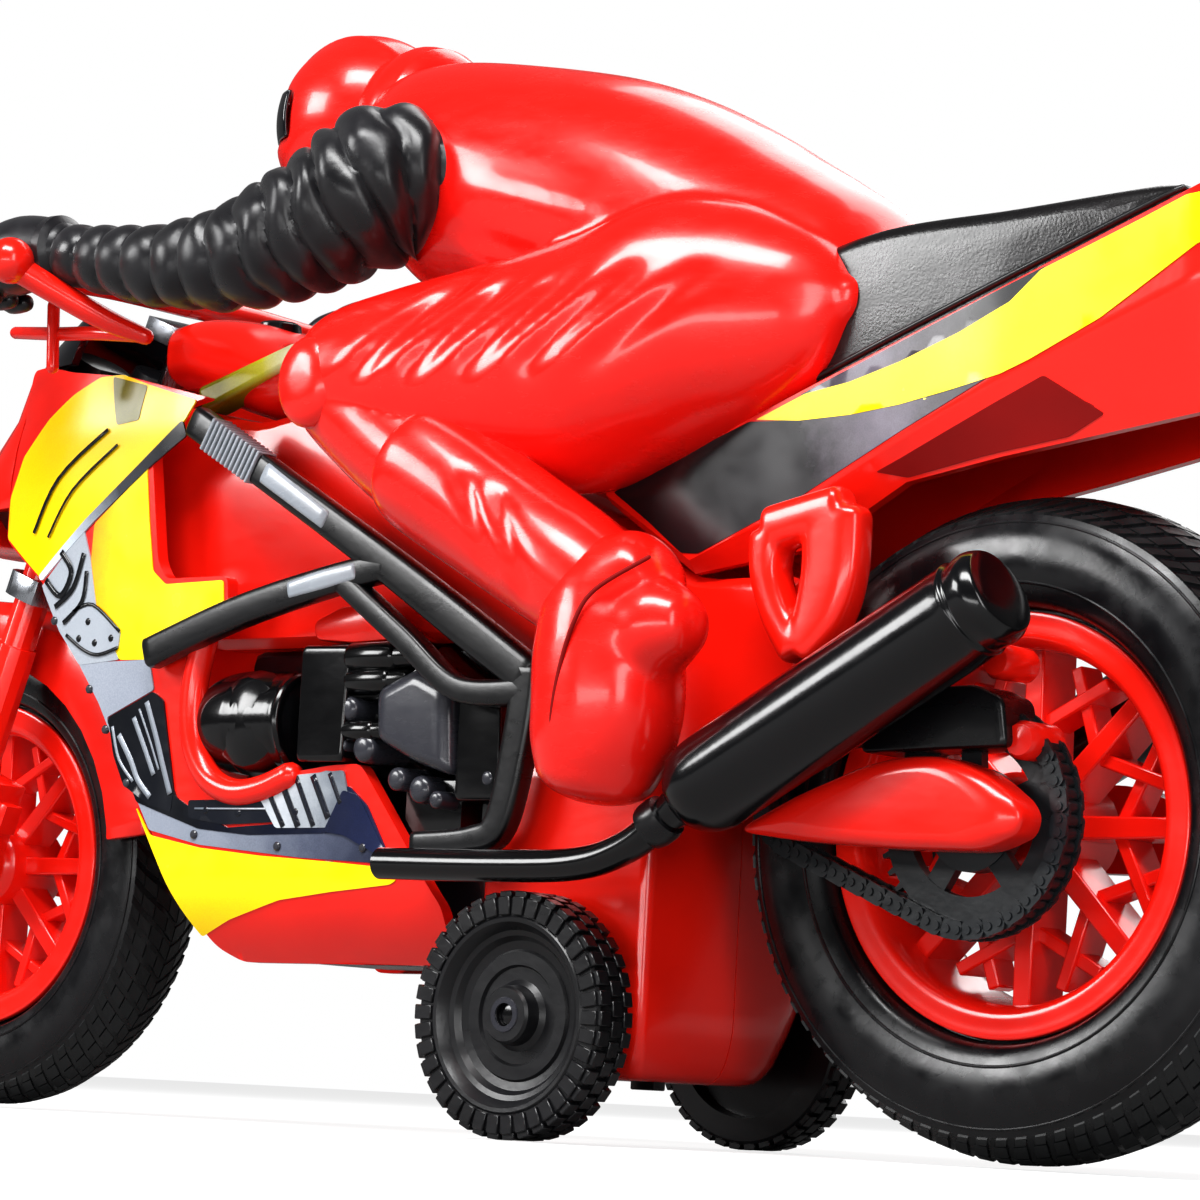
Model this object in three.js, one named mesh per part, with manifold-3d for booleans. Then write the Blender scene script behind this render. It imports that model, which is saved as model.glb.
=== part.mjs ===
// A remote-control racing motorcycle with a moulded rider, about 1:8 scale.
//
// Millimetres. X points forward, Y to the rider's left, Z up. The model stands on Z = 0 with
// its origin under the middle of its box. Everything is laid out from the rear axle, in a group
// that is moved back by the distance from that axle to the origin.
//
// The bike drives on two small wheels under a gearbox. The front fork, its wheel, the handlebar
// and the gloves on it steer together. Both big wheels roll freely.

import * as THREE from 'three';
import { mergeVertices } from 'three/addons/utils/BufferGeometryUtils.js';
import Module from 'manifold-3d';

const wasm = await Module();
wasm.setup();

// ---- Driving dimensions ----
const REAR_RADIUS = 42;
const FRONT_RADIUS = 36;
const WHEELBASE = 187;
const TAIL_OVERHANG = 48; // the tail light's distance behind the rear axle
const REAR_TYRE_WIDTH = 22;
const FRONT_TYRE_WIDTH = 15;
const REAR_FLANGE = 26.4; // rim radius
const FRONT_FLANGE = 23.9;

const DRIVE_X = 62.5; // the driven axle, ahead of the rear axle
const DRIVE_RADIUS = 16;
const DRIVE_WIDTH = 7;
const DRIVE_OUTER_Y = 28.5;

const RAKE = THREE.MathUtils.degToRad(21);
const FORK_Y = 13.2;
const STEM_RADIUS = 2.2;
const AXLE_RADIUS = 1.5;
const BORE_PLAY = 0.35;

const GAP = 0.3; // between pieces that touch
const HALF_GAP = GAP / 2; // each side of the middle plane
const WALL = 1.7;
const BODY_HALF = 14.5;
const POD_HALF = 19;
const ENGINE_HALF = 12.8;
const FAIRING_HALF = 21;
const FRAME_INNER = 21.3;
const FRAME_OUTER = 24.6;
const WELL_RADIUS = REAR_RADIUS + 2; // wheel well in the body
const WELL_HALF = REAR_TYRE_WIDTH / 2 + 1.4;

const REAR_AXLE_X = -(WHEELBASE + FRONT_RADIUS - TAIL_OVERHANG) / 2;
const REAR_AXLE = [0, REAR_RADIUS];
const FRONT_AXLE = [WHEELBASE, FRONT_RADIUS];
const DRIVE_AXLE = [DRIVE_X, DRIVE_RADIUS];

// ---- Materials ----
const material = (color, roughness, metalness = 0) => (
  new THREE.MeshStandardMaterial({ color, roughness, metalness }));
const RED = material(0xe0281a, 0.28);
const DEEP_RED = material(0xb81e14, 0.35);
const BLACK = material(0x17171a, 0.35);
const SATIN_BLACK = material(0x202023, 0.55);
const RUBBER = material(0x1b1b1c, 0.75);
const SMOKED = material(0x15161a, 0.12);
const LENS = material(0xe8edf2, 0.1);
const STEEL = material(0xb4b7bb, 0.35, 0.9);
const BRASS = material(0xc9a24b, 0.35, 0.9);
const NYLON = material(0xe9e7de, 0.5);
const BOARD = material(0x1d6b3c, 0.5);
const SHRINK = material(0x2257a8, 0.4);

// ---- Solids ----
const WELD = 1e-4;

function signedVolume(positions, triangles) {
  const [a, b, c] = [new THREE.Vector3(), new THREE.Vector3(), new THREE.Vector3()];
  let sum = 0;
  for (let i = 0; i < triangles.length; i += 3) {
    a.fromArray(positions, triangles[i] * 3);
    b.fromArray(positions, triangles[i + 1] * 3);
    c.fromArray(positions, triangles[i + 2] * 3);
    sum += a.dot(b.cross(c));
  }
  return sum / 6;
}

// A closed geometry with shared corners, no empty triangles and its faces pointing out.
function closed(geometry) {
  const bare = new THREE.BufferGeometry();
  bare.setAttribute('position', geometry.getAttribute('position').clone());
  if (geometry.index) bare.setIndex(geometry.index.clone());
  const merged = mergeVertices(bare, WELD);
  const all = merged.index.array;
  const kept = [];
  for (let i = 0; i < all.length; i += 3) {
    const [a, b, c] = [all[i], all[i + 1], all[i + 2]];
    if (a !== b && b !== c && a !== c) kept.push(a, b, c);
  }
  if (signedVolume(merged.attributes.position.array, kept) < 0) {
    for (let i = 0; i < kept.length; i += 3) [kept[i], kept[i + 1]] = [kept[i + 1], kept[i]];
  }
  merged.setIndex(kept);
  return merged;
}

function solid(geometry) {
  const mesh = closed(geometry);
  return new wasm.Manifold(new wasm.Mesh({
    numProp: 3,
    vertProperties: new Float32Array(mesh.attributes.position.array),
    triVerts: new Uint32Array(mesh.index.array),
  }));
}

function geometryOf(body) {
  const mesh = body.getMesh();
  const geometry = new THREE.BufferGeometry();
  geometry.setAttribute('position', new THREE.BufferAttribute(mesh.vertProperties, 3));
  geometry.setIndex(new THREE.BufferAttribute(mesh.triVerts, 1));
  return geometry;
}

const join = (...pieces) => (
  geometryOf(pieces.map(solid).reduce((all, piece) => all.add(piece))));
const cut = (piece, ...cutters) => (
  geometryOf(cutters.map(solid).reduce((left, cutter) => left.subtract(cutter), solid(piece))));
const common = (piece, other) => geometryOf(solid(piece).intersect(solid(other)));

function mirrored(geometry) {
  const copy = closed(geometry);
  copy.scale(1, -1, 1);
  return closed(copy);
}

// ---- Shapes ----
const box = (x0, x1, y0, y1, z0, z1) => (
  new THREE.BoxGeometry(x1 - x0, y1 - y0, z1 - z0)
    .translate((x0 + x1) / 2, (y0 + y1) / 2, (z0 + z1) / 2));

// A round rod along Y at a place in the side view.
const rod = ([x, z], radius, y0, y1, sides = 12) => (
  new THREE.CylinderGeometry(radius, radius, y1 - y0, sides).translate(x, (y0 + y1) / 2, z));

// A body of revolution round an axis along Y. The profile is a closed loop of [radius, y].
function turned(profile, [x, z], sides) {
  const loop = [...profile, profile[0]].map(([radius, y]) => new THREE.Vector2(radius, y));
  return new THREE.LatheGeometry(loop, sides).translate(x, 0, z);
}

// A closed outline of [x, z] corners, each rounded by up to the given radius.
function outline(corners, radius = 0) {
  const points = corners.map(([x, z]) => new THREE.Vector2(x, z));
  if (radius === 0) return new THREE.Shape(points);
  const shape = new THREE.Shape();
  points.forEach((corner, i) => {
    const before = points[(i + points.length - 1) % points.length];
    const after = points[(i + 1) % points.length];
    const reach = Math.min(radius, corner.distanceTo(before) / 2.1, corner.distanceTo(after) / 2.1);
    const start = corner.clone().add(before.clone().sub(corner).setLength(reach));
    const end = corner.clone().add(after.clone().sub(corner).setLength(reach));
    if (i === 0) shape.moveTo(start.x, start.y);
    else shape.lineTo(start.x, start.y);
    shape.quadraticCurveTo(corner.x, corner.y, end.x, end.y);
  });
  shape.closePath();
  return shape;
}

// A side-view outline given thickness from y0 to y1, with its edges bevelled.
function prism(shape, y0, y1, bevel = 0, curveSegments = 2) {
  return new THREE.ExtrudeGeometry(shape, {
    depth: y1 - y0 - 2 * bevel,
    bevelEnabled: bevel > 0,
    bevelThickness: bevel,
    bevelSize: bevel,
    bevelOffset: -bevel,
    bevelSegments: 1,
    curveSegments,
  }).rotateX(Math.PI / 2).translate(0, y1 - bevel, 0);
}

// The same corners, moved inward (or outward for a negative distance).
function inset(corners, distance) {
  const turn = Math.sign(THREE.ShapeUtils.area(corners.map(([x, z]) => new THREE.Vector2(x, z))));
  return corners.map(([x, z], i) => {
    const here = new THREE.Vector2(x, z);
    const into = here.clone().sub(new THREE.Vector2(...corners.at(i - 1))).normalize();
    const out = new THREE.Vector2(...corners[(i + 1) % corners.length]).sub(here).normalize();
    const normal = new THREE.Vector2(-into.y - out.y, into.x + out.x).multiplyScalar(turn);
    const share = 1 + into.dot(out);
    return here.addScaledVector(normal, distance / share).toArray();
  });
}

// A skin through rings with the same number of points, closed by flat caps. Rings that lie
// across X may be hollow-backed; all others are round.
function loft(rings, acrossX = false) {
  const count = rings[0].length;
  const positions = rings.flat().flatMap((point) => point.toArray());
  const faces = [];
  for (let i = 0; i + 1 < rings.length; i += 1) {
    for (let j = 0; j < count; j += 1) {
      const k = (j + 1) % count;
      const [a, b, c, d] = [i * count + j, i * count + k, (i + 1) * count + k, (i + 1) * count + j];
      faces.push(a, b, c, a, c, d);
    }
  }
  const cap = acrossX ? capOf(rings[0]) : fan(count);
  const last = (rings.length - 1) * count;
  cap.forEach(([a, b, c]) => faces.push(a, c, b, last + a, last + b, last + c));
  const geometry = new THREE.BufferGeometry();
  geometry.setAttribute('position', new THREE.Float32BufferAttribute(positions, 3));
  geometry.setIndex(faces);
  return geometry;
}

function fan(count) {
  return Array.from({ length: count - 2 }, (_, i) => [0, i + 1, i + 2]);
}

function capOf(ring) {
  const contour = ring.map((point) => new THREE.Vector2(point.y, point.z));
  const turn = Math.sign(THREE.ShapeUtils.area(contour));
  return THREE.ShapeUtils.triangulateShape(contour, []).map(([a, b, c]) => {
    const area = THREE.ShapeUtils.area([contour[a], contour[b], contour[c]]);
    return Math.sign(area) === turn ? [a, b, c] : [a, c, b];
  });
}

// An oval ring across X. A power above 2 squares it up.
function ovalRing(x, centreZ, halfHeight, halfWidth, sides, power = 2) {
  const bulge = (value) => Math.sign(value) * Math.abs(value) ** (2 / power);
  return Array.from({ length: sides }, (_, i) => {
    const angle = (2 * Math.PI * (i + 0.5)) / sides;
    return new THREE.Vector3(
      x, halfWidth * bulge(Math.cos(angle)), centreZ + halfHeight * bulge(Math.sin(angle)));
  });
}

// A round limb through stops of [x, y, z, radius], with its rings square to the path.
function limb(stops, sides, grow = 0) {
  const curve = new THREE.CatmullRomCurve3(stops.map(([x, y, z]) => new THREE.Vector3(x, y, z)));
  const lateral = new THREE.Vector3(0, 1, 0);
  return loft(stops.map(([x, y, z, radius], i) => {
    const along = curve.getTangent(i / (stops.length - 1));
    const over = new THREE.Vector3().crossVectors(along, lateral).normalize();
    const side = new THREE.Vector3().crossVectors(over, along);
    return Array.from({ length: sides }, (_, j) => {
      const angle = (2 * Math.PI * j) / sides;
      return new THREE.Vector3(x, y, z)
        .addScaledVector(side, (radius + grow) * Math.cos(angle))
        .addScaledVector(over, (radius + grow) * Math.sin(angle));
    });
  }));
}

// A round tube bent through points.
function bentTube(points, radius, steps, sides = 10) {
  const section = new THREE.Shape(Array.from({ length: sides }, (_, i) => (
    new THREE.Vector2(Math.cos((2 * Math.PI * i) / sides), Math.sin((2 * Math.PI * i) / sides))
      .multiplyScalar(radius))));
  const path = new THREE.CatmullRomCurve3(points.map((point) => new THREE.Vector3(...point)));
  return new THREE.ExtrudeGeometry(section, { steps, extrudePath: path, bevelEnabled: false });
}

// A straight bar in the side view from one place to another.
function bar([x0, z0], [x1, z1], width, y0, y1) {
  const length = Math.hypot(x1 - x0, z1 - z0) + width * 0.6;
  return new THREE.BoxGeometry(length, y1 - y0, width)
    .rotateY(-Math.atan2(z1 - z0, x1 - x0))
    .translate((x0 + x1) / 2, (y0 + y1) / 2, (z0 + z1) / 2);
}

// ---- Wheels ----
const TYRE_SIDES = 36;

// A hollow tyre that is open to its rim. The profile is written for one side and mirrored.
function tyre(axle, radius, width, flange) {
  const half = width / 2;
  const rise = radius - flange;
  const outside = [
    [flange - 1.6, 0.59 * half],
    [flange + 0.3, 0.6 * half],
    [flange + 0.4, 0.84 * half],
    [flange + 0.36 * rise, half],
    [flange + 0.76 * rise, 0.86 * half],
    [radius, 0.3 * half],
  ];
  const inside = [
    [flange - 1.6, 0.4 * half],
    [radius - 3.2, 0.6 * half],
  ];
  const flip = (profile) => profile.map(([r, y]) => [r, -y]);
  return turned([
    ...outside, ...flip(outside).reverse(), ...flip(inside), ...inside.reverse(),
  ], axle, TYRE_SIDES);
}

// The rim ring: flanges, a bead seat and a drop centre, closed on itself.
function rimRing(axle, flange, width) {
  const half = width / 2;
  const side = [
    [flange - 4.4, 0.5 * half],
    [flange - 3.4, half - 0.2],
    [flange, half],
    [flange, 0.86 * half],
    [flange - 2, 0.82 * half],
  ];
  return turned([...side, ...side.map(([r, y]) => [r, -y]).reverse()], axle, RIM_SIDES);
}

const RIM_SIDES = 32;
const SPOKES = 8;
const CROSSING = 0.645; // where the thin bars cross, as a share of the flange radius
const JOINING = 0.47; // where they leave the straight spokes

// Straight spokes with a pair of thin crossing bars between each two.
function rimSpokes([x, z], flange, depth) {
  const reach = flange - 3.6;
  const at = (radius, angle) => [x + radius * Math.cos(angle), z + radius * Math.sin(angle)];
  const pieces = [];
  for (let i = 0; i < SPOKES; i += 1) {
    const angle = (2 * Math.PI * i) / SPOKES;
    const step = Math.PI / SPOKES;
    pieces.push(bar(at(3, angle), at(reach - 0.6, angle), 0.11 * flange, -depth / 2, depth / 2));
    for (const side of [-1, 1]) {
      const middle = angle + side * step;
      const [crossX, crossZ] = at(CROSSING * flange, middle);
      const [startX, startZ] = at(JOINING * flange, angle);
      const [dx, dz] = [crossX - startX, crossZ - startZ];
      const run = 1.62;
      const end = [startX + run * dx, startZ + run * dz];
      pieces.push(bar([startX, startZ], end, 0.062 * flange, -0.36 * depth, 0.36 * depth));
    }
  }
  return pieces;
}

function rim(axle, flange, width) {
  const hub = rod(axle, 0.25 * flange, -width / 2, width / 2, 12);
  const joined = join(rimRing(axle, flange, width), hub, ...rimSpokes(axle, flange, 0.45 * width));
  return cut(joined, rod(axle, AXLE_RADIUS + BORE_PLAY, -width, width, 12));
}

// A driving wheel with a dished face, a raised hub boss and a toothed tread.
function driveWheel() {
  const [x, z] = DRIVE_AXLE;
  const inner = DRIVE_OUTER_Y - DRIVE_WIDTH;
  const face = (depth) => DRIVE_OUTER_Y - depth;
  const disc = turned([
    [AXLE_RADIUS - 0.4, inner + 0.4], [4, inner + 0.4], [4, inner + 2.2], [11.6, inner + 2.2],
    [11.6, inner], [DRIVE_RADIUS - 0.8, inner], [DRIVE_RADIUS, inner + 0.8], [DRIVE_RADIUS, face(0.8)],
    [15.2, face(0)], [12.6, face(0)], [12.1, face(1.8)], [9.2, face(1.8)], [8.6, face(2.6)],
    [4.4, face(2.6)], [4, face(0.3)], [AXLE_RADIUS - 0.4, face(0.3)],
  ], [x, z], 24);
  return cut(disc, rod([x, z], AXLE_RADIUS + GAP, inner - 1, DRIVE_OUTER_Y + 1, 12));
}

const tyreAndRim = (name, axle, radius, width, flange, rimWidth) => [
  [`${name}_tyre`, tyre(axle, radius, width, flange), RUBBER],
  [`${name}_rim`, rim(axle, flange, rimWidth), RED],
];

// ---- Gear train ----
const TOOTH_MODULE = 0.6;
const FINAL_TEETH = 16;
const SMALL_TEETH = 10;
const LARGE_TEETH = 18;
const PINION_TEETH = 9;
const pitchRadius = (teeth) => (TOOTH_MODULE * teeth) / 2;
const LAYER_A = [12.9, 15.6]; // final gear and the idler's small gear
const LAYER_B = [9.9, 12.3]; // the idler's large gear and the pinion
const TRAIN_LEAN = 1.35; // direction from the driven axle to the idler, in radians from +X
const MOTOR_LEAN = 1.75; // and from the idler to the motor

const along = ([x, z], angle, distance) => (
  [x + distance * Math.cos(angle), z + distance * Math.sin(angle)]);
const IDLER = along(DRIVE_AXLE, TRAIN_LEAN, pitchRadius(FINAL_TEETH) + pitchRadius(SMALL_TEETH));
const MOTOR = along(IDLER, MOTOR_LEAN, pitchRadius(LARGE_TEETH) + pitchRadius(PINION_TEETH));

// A spur gear with one tooth centred on the given direction.
function gear(centre, teeth, phase, [y0, y1]) {
  const pitch = pitchRadius(teeth);
  const root = pitch - 1.15 * TOOTH_MODULE;
  const tip = pitch + 0.8 * TOOTH_MODULE;
  const step = (2 * Math.PI) / teeth;
  const corners = [];
  for (let i = 0; i < teeth; i += 1) {
    const middle = phase + i * step;
    corners.push(along(centre, middle - 0.26 * step, root), along(centre, middle - 0.1 * step, tip));
    corners.push(along(centre, middle + 0.1 * step, tip), along(centre, middle + 0.26 * step, root));
  }
  return prism(outline(corners), y0, y1);
}

const opposite = (angle, teeth) => angle + Math.PI - Math.PI / teeth;

const driveAxle = () => join(
  rod(DRIVE_AXLE, AXLE_RADIUS, -DRIVE_OUTER_Y + 0.6, DRIVE_OUTER_Y - 0.6),
  gear(DRIVE_AXLE, FINAL_TEETH, TRAIN_LEAN, LAYER_A));

const idlerGear = () => join(
  gear(IDLER, SMALL_TEETH, opposite(TRAIN_LEAN, SMALL_TEETH), [LAYER_B[1] - 0.2, LAYER_A[1]]),
  gear(IDLER, LARGE_TEETH, MOTOR_LEAN, LAYER_B),
  rod(IDLER, 0.9, LAYER_B[0], POD_HALF - WALL - GAP, 12));

const pinion = () => join(
  gear(MOTOR, PINION_TEETH, opposite(MOTOR_LEAN, PINION_TEETH), LAYER_B),
  rod(MOTOR, 0.8, LAYER_B[0] - 0.5, LAYER_A[0], 12));

// A small can motor with flattened sides and a bearing boss.
function motor() {
  const [x, z] = MOTOR;
  const can = common(rod(MOTOR, 10, -13, 8.6, 24), box(x - 11, x + 11, -14, 9, z - 7.5, z + 7.5));
  return join(can, rod(MOTOR, 2.4, 8, 9.2), rod(MOTOR, 4, -14.5, -12.5));
}

// ---- Body shells ----
const wheelWell = (grow) => (
  rod(REAR_AXLE, WELL_RADIUS + grow, -WELL_HALF - grow, WELL_HALF + grow, 36));

// The left half of a moulded shell: an outline, hollow inside and open at the middle plane,
// with a curved wall left round the wheel well.
function halfShell(corners, half, radius, bevel) {
  const skin = prism(outline(corners, radius), HALF_GAP, half, 0);
  const rounded = common(skin, prism(outline(corners, radius), -half, half, bevel));
  const hollow = cut(
    prism(outline(inset(corners, WALL), Math.max(radius - WALL, 0)), -half, half - WALL),
    wheelWell(WALL));
  return cut(rounded, hollow, wheelWell(0));
}

const POD = [[25.6, 8.5], [77, 8.5], [77, 36], [74, 49.6], [38, 49.6]];
const SWITCH_SLOT = { x0: 52, x1: 60, y0: 7, y1: 10.2 };

// The left gearbox half, with bearing bosses inside for the axles.
function podLeft() {
  const shell = halfShell(POD, POD_HALF, 6, 2);
  const bosses = [DRIVE_AXLE, IDLER].map((centre) => (
    rod(centre, 3.4, LAYER_A[1] + GAP, POD_HALF - 1)));
  const bores = [
    rod(DRIVE_AXLE, AXLE_RADIUS + BORE_PLAY, -1, POD_HALF + 1),
    rod(IDLER, 0.9 + BORE_PLAY, LAYER_A[1] - 1, POD_HALF - WALL + 0.2, 12)];
  const { x0, x1, y0, y1 } = SWITCH_SLOT;
  return cut(join(shell, ...bosses), ...bores, box(x0, x1, y0, y1, 5, 12));
}

// The right half has plain bearings and a cradle round the motor.
function podRight() {
  const shell = mirrored(halfShell(POD, POD_HALF, 6, 2));
  const boss = rod(DRIVE_AXLE, 3.4, -POD_HALF + 1, -LAYER_A[1]);
  return cut(join(shell, boss), rod(DRIVE_AXLE, AXLE_RADIUS + BORE_PLAY, -POD_HALF - 1, 1));
}

// The switch's knob, with a wide foot inside that keeps it in its slot.
function powerSwitch() {
  const { x0, y0, y1 } = SWITCH_SLOT;
  const knob = box(x0 + 0.5, x0 + 4.5, y0 + 0.4, y1 - 0.4, 7.4, 11.5);
  return join(knob, box(x0 - 2.4, x0 + 7.4, y0 - 1.2, y1 + 1.2, 10.6, 12));
}

const BODY = [
  [150, 103], [127, 98], [112, 100.5], [96, 95], [64, 83], [46, 73.2], [29, 73.2], [27.5, 62],
  [34, 50.2], [78, 50.2], [80, 66], [134, 66], [143, 72], [150, 84],
];

function bodyLeft() {
  const shell = halfShell(BODY, BODY_HALF, 2.5, 1.4);
  const posts = [[142, 92], [88, 84], [52, 60]].map((centre) => (
    cut(rod(centre, 2.6, HALF_GAP, BODY_HALF - 0.8, 8), rod(centre, 1.2, -1, BODY_HALF - 2, 8))));
  return join(shell, ...posts);
}

const ENGINE = [[80, 25.6], [120, 25.6], [127, 40], [127, 65.7], [80.4, 65.7], [78, 50]];
const POT = [119.5, 55];
const COVER = [88.6, 56.4];

// The left engine moulding: the battery bay with a round pot, a faceted cover and pipework.
function engineLeft() {
  const shell = halfShell(ENGINE, ENGINE_HALF, 2, 0.8);
  const bay = box(84, 120, -1, ENGINE_HALF - WALL, 20, 30);
  const pot = turned([
    [0, 12], [7.4, 12], [7.4, 18.4], [6.2, 20.6], [3.4, 21.8], [0, 22.2],
  ], POT, 18);
  const cover = turned([[0, 12], [9.2, 12], [8.8, 15.5], [5.2, 20.4], [0, 20.9]], COVER, 6);
  const details = [
    box(94, 106, 12, 18.5, 58, 65.6),
    box(98.3, 111, 12, 16.5, 50.4, 56.2),
    rod([101.3, 44.7], 3.6, 12, 17.3, 10),
    box(82, 92, 12, 17, 40, 47),
  ];
  return cut(join(shell, pot, cover, ...details), bay);
}

// ---- Fairing ----
const FAIRING = [
  [131, 101], [147.5, 105], [160, 106.5], [167, 108], [172, 108], [172, 82.5], [162.5, 76],
  [147.2, 57], [126.3, 24], [123, 22.2], [83, 22.5], [83, 30], [87, 35.2], [99.3, 47.8],
  [107, 45.4], [113, 43.2], [121, 42.4], [128.5, 45.6], [132.6, 52.5], [134.2, 60], [137, 66.7],
  [124.5, 70.6], [124.9, 75.5], [136.6, 75.4], [138.4, 78], [141.4, 96.5], [140.6, 98.8],
];
const NOSE_BACK = 155; // the nose is a half ellipse in plan, about this X
const FAIRING_FRONT = 172;

const between = (value, [x0, y0], [x1, y1]) => (
  y0 + (y1 - y0) * THREE.MathUtils.clamp((value - x0) / (x1 - x0), 0, 1));
const noseReach = (z) => between(z, [88, 42], [100, 30]);

// The fairing's half-width: full at the side, drawn in below, at the top and round the nose.
function fairingWidth(x, z) {
  const tuck = Math.max(0, (34 - z) / 14);
  const crown = Math.max(0, (z - 96) / 16);
  const side = FAIRING_HALF - 8 * tuck ** 2 - 3 * crown ** 2;
  const turnIn = Math.max(0, (x - NOSE_BACK) / noseReach(z));
  const tailIn = between(x, [104, 1.6], [136, 0]);
  return side * Math.sqrt(1 - turnIn ** 2) - tailIn;
}

// A sheet of constant thickness across Y, over a grid in the side view.
function sheet(width, thickness, [x0, x1, xSteps], [z0, z1, zSteps]) {
  const rings = [];
  for (let i = 0; i <= xSteps; i += 1) {
    const x = x0 + ((x1 - x0) * i) / xSteps;
    const outer = [];
    const inner = [];
    for (let j = 0; j <= zSteps; j += 1) {
      const z = z0 + ((z1 - z0) * j) / zSteps;
      outer.push(new THREE.Vector3(x, width(x, z), z));
      inner.unshift(new THREE.Vector3(x, width(x, z) - thickness, z));
    }
    rings.push([...outer, ...inner]);
  }
  return loft(rings, true);
}

const fairingLeft = () => common(
  sheet(fairingWidth, 2, [80, 172, 9], [20, 112, 12]),
  prism(outline(FAIRING), 1, FAIRING_HALF + 3));

// A closed nose form made of half ellipses stacked in Z.
function noseForm(levels, grow) {
  const count = 12;
  return loft(levels.map(([z, reach, half, front]) => {
    const start = Math.acos((front - NOSE_BACK) / (reach + grow));
    return Array.from({ length: count }, (_, i) => {
      const angle = -start + (2 * start * i) / (count - 1);
      return new THREE.Vector3(
        NOSE_BACK + (reach + grow) * Math.cos(angle), (half + grow) * Math.sin(angle), z);
    });
  }));
}

const NOSE_START = FAIRING_FRONT + GAP;
const NOSE = [
  [82.6, 37, 18.6, NOSE_START], [86, 41, 20.5, NOSE_START], [91, 41, 21, NOSE_START],
  [96, 35, 21, NOSE_START], [101, 30, 20.6, NOSE_START], [108, 27.5, 19, NOSE_START],
];
const NOSE_HOLLOW = [
  [84.6, 37, 18.6, NOSE_START - 2], [87, 41, 20.5, NOSE_START - 2], [91, 41, 21, NOSE_START - 2],
  [96, 35, 21, NOSE_START - 2], [101, 30, 20.6, NOSE_START - 2], [106, 27.8, 19, NOSE_START - 2],
];
const LAMP = { half: 9, z0: 86.5, z1: 92.5 };

const FORK_ROOM = box(170, 179.5, -22, 22, 80, 87.4); // the fork swings through here

const lampBox = (grow) => box(
  184, 200, -LAMP.half - grow, LAMP.half + grow, LAMP.z0 - grow, LAMP.z1 + grow);
const noseCowl = () => cut(
  noseForm(NOSE, 0), noseForm(NOSE_HOLLOW, -WALL), lampBox(0), FORK_ROOM);
const headlight = () => cut(
  common(noseForm(NOSE, -0.3), lampBox(-GAP)), noseForm(NOSE_HOLLOW, -WALL));

function windscreen() {
  const levels = [[108.3, 27, 18, 163], [112.5, 23.5, 16.4, 163], [117.5, 17.5, 14, 163]];
  const inside = [[107, 27.8, 18.4, 155.5], [112.5, 23.5, 16.4, 155.5], [119, 16, 13.3, 155.5]];
  return cut(noseForm(levels, 0), noseForm(inside, -1.3));
}

function cockpit() {
  const tray = box(165.6, 171.9, -14, 14, 104.6, 107.4);
  const gauge = new THREE.CylinderGeometry(4.2, 5, 4, 14).rotateX(Math.PI / 2);
  const pods = [-6, 6].map((y) => gauge.clone().rotateY(-0.5).translate(169, y, 108.5));
  return cut(join(tray, ...pods), box(171.9, 180, -20, 20, 100, 120), box(155, 165.6, -20, 20, 100, 120));
}

// ---- Tank, tail and seat ----
function tank(grow = 0) {
  const stops = [
    [88, 101.5, 6, 11.5], [97, 103.2, 6.6, 13.4], [112, 105.4, 4.8, 14.3], [127, 104.8, 5.6, 14.3],
    [136, 107.6, 6.7, 13.4], [146, 109.7, 5.6, 12], [152, 110.2, 4.6, 10],
  ];
  return loft(stops.map(([x, z, half, width]) => (
    ovalRing(x, z, half + grow, width + grow, 16, 3))));
}

// The steps of the tail: x, then heights of the top, shoulder, crease and underside, then the
// half-widths there.
const TAIL = [
  { x: 61, top: 86.4, shoulder: 85.8, crease: 84.6, under: 83.6, widths: [13, 15.5, 15.5, 14.2] },
  { x: 46, top: 91, shoulder: 90, crease: 75.4, under: 73.8, widths: [13, 16, 16, 14.6] },
  { x: 28, top: 97.8, shoulder: 96.8, crease: 82.5, under: 76.6, widths: [13, 16, 16, 13.4] },
  { x: 14, top: 103, shoulder: 102, crease: 89.2, under: 84.4, widths: [12.8, 15.8, 15.8, 13.2] },
  { x: 0, top: 108.3, shoulder: 107.3, crease: 95.8, under: 86.8, widths: [12.5, 15.5, 15.5, 13] },
  { x: -28, top: 119.3, shoulder: 118.4, crease: 107.2, under: 88.5, widths: [11, 14, 14, 10] },
  { x: -46, top: 123.4, shoulder: 122.6, crease: 113.4, under: 100, widths: [6.6, 8.6, 8.6, 6.6] },
];

function tailRing({ x, top, shoulder, crease, under, widths }, shrink, y0) {
  const [wTop, wShoulder, wCrease, wUnder] = widths.map((width) => width - shrink);
  return [
    [y0, under + shrink], [wUnder, under + shrink], [wCrease, crease], [wShoulder, shoulder - shrink],
    [wTop, top - shrink], [y0, top - shrink],
  ].map(([y, z]) => new THREE.Vector3(x, y, z));
}

const tailForm = (shrink, y0) => loft(TAIL.map((step) => tailRing(step, shrink, y0)));

// The left tail half: a shell with a solid front edge, open behind, that arches over the wheel.
function tailLeft() {
  const rings = TAIL.slice(1).map((step) => tailRing(step, 1.5, -1));
  const tip = rings.at(-1).map((point) => point.clone().setX(-50));
  return cut(tailForm(0, HALF_GAP), loft([...rings, tip]));
}

function tailLight() {
  const end = TAIL.at(-1);
  const back = { ...end, x: -TAIL_OVERHANG, widths: end.widths.map((width) => width - 1.2) };
  const half = [{ ...end, x: end.x - GAP }, back].map((step) => tailRing(step, 0.1, 0));
  const lens = loft(half.map((ring) => ring.map((point, i) => (
    i === 0 || i === 5 ? point.clone().setY(-0.5) : point))));
  return join(lens, mirrored(lens));
}

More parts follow.
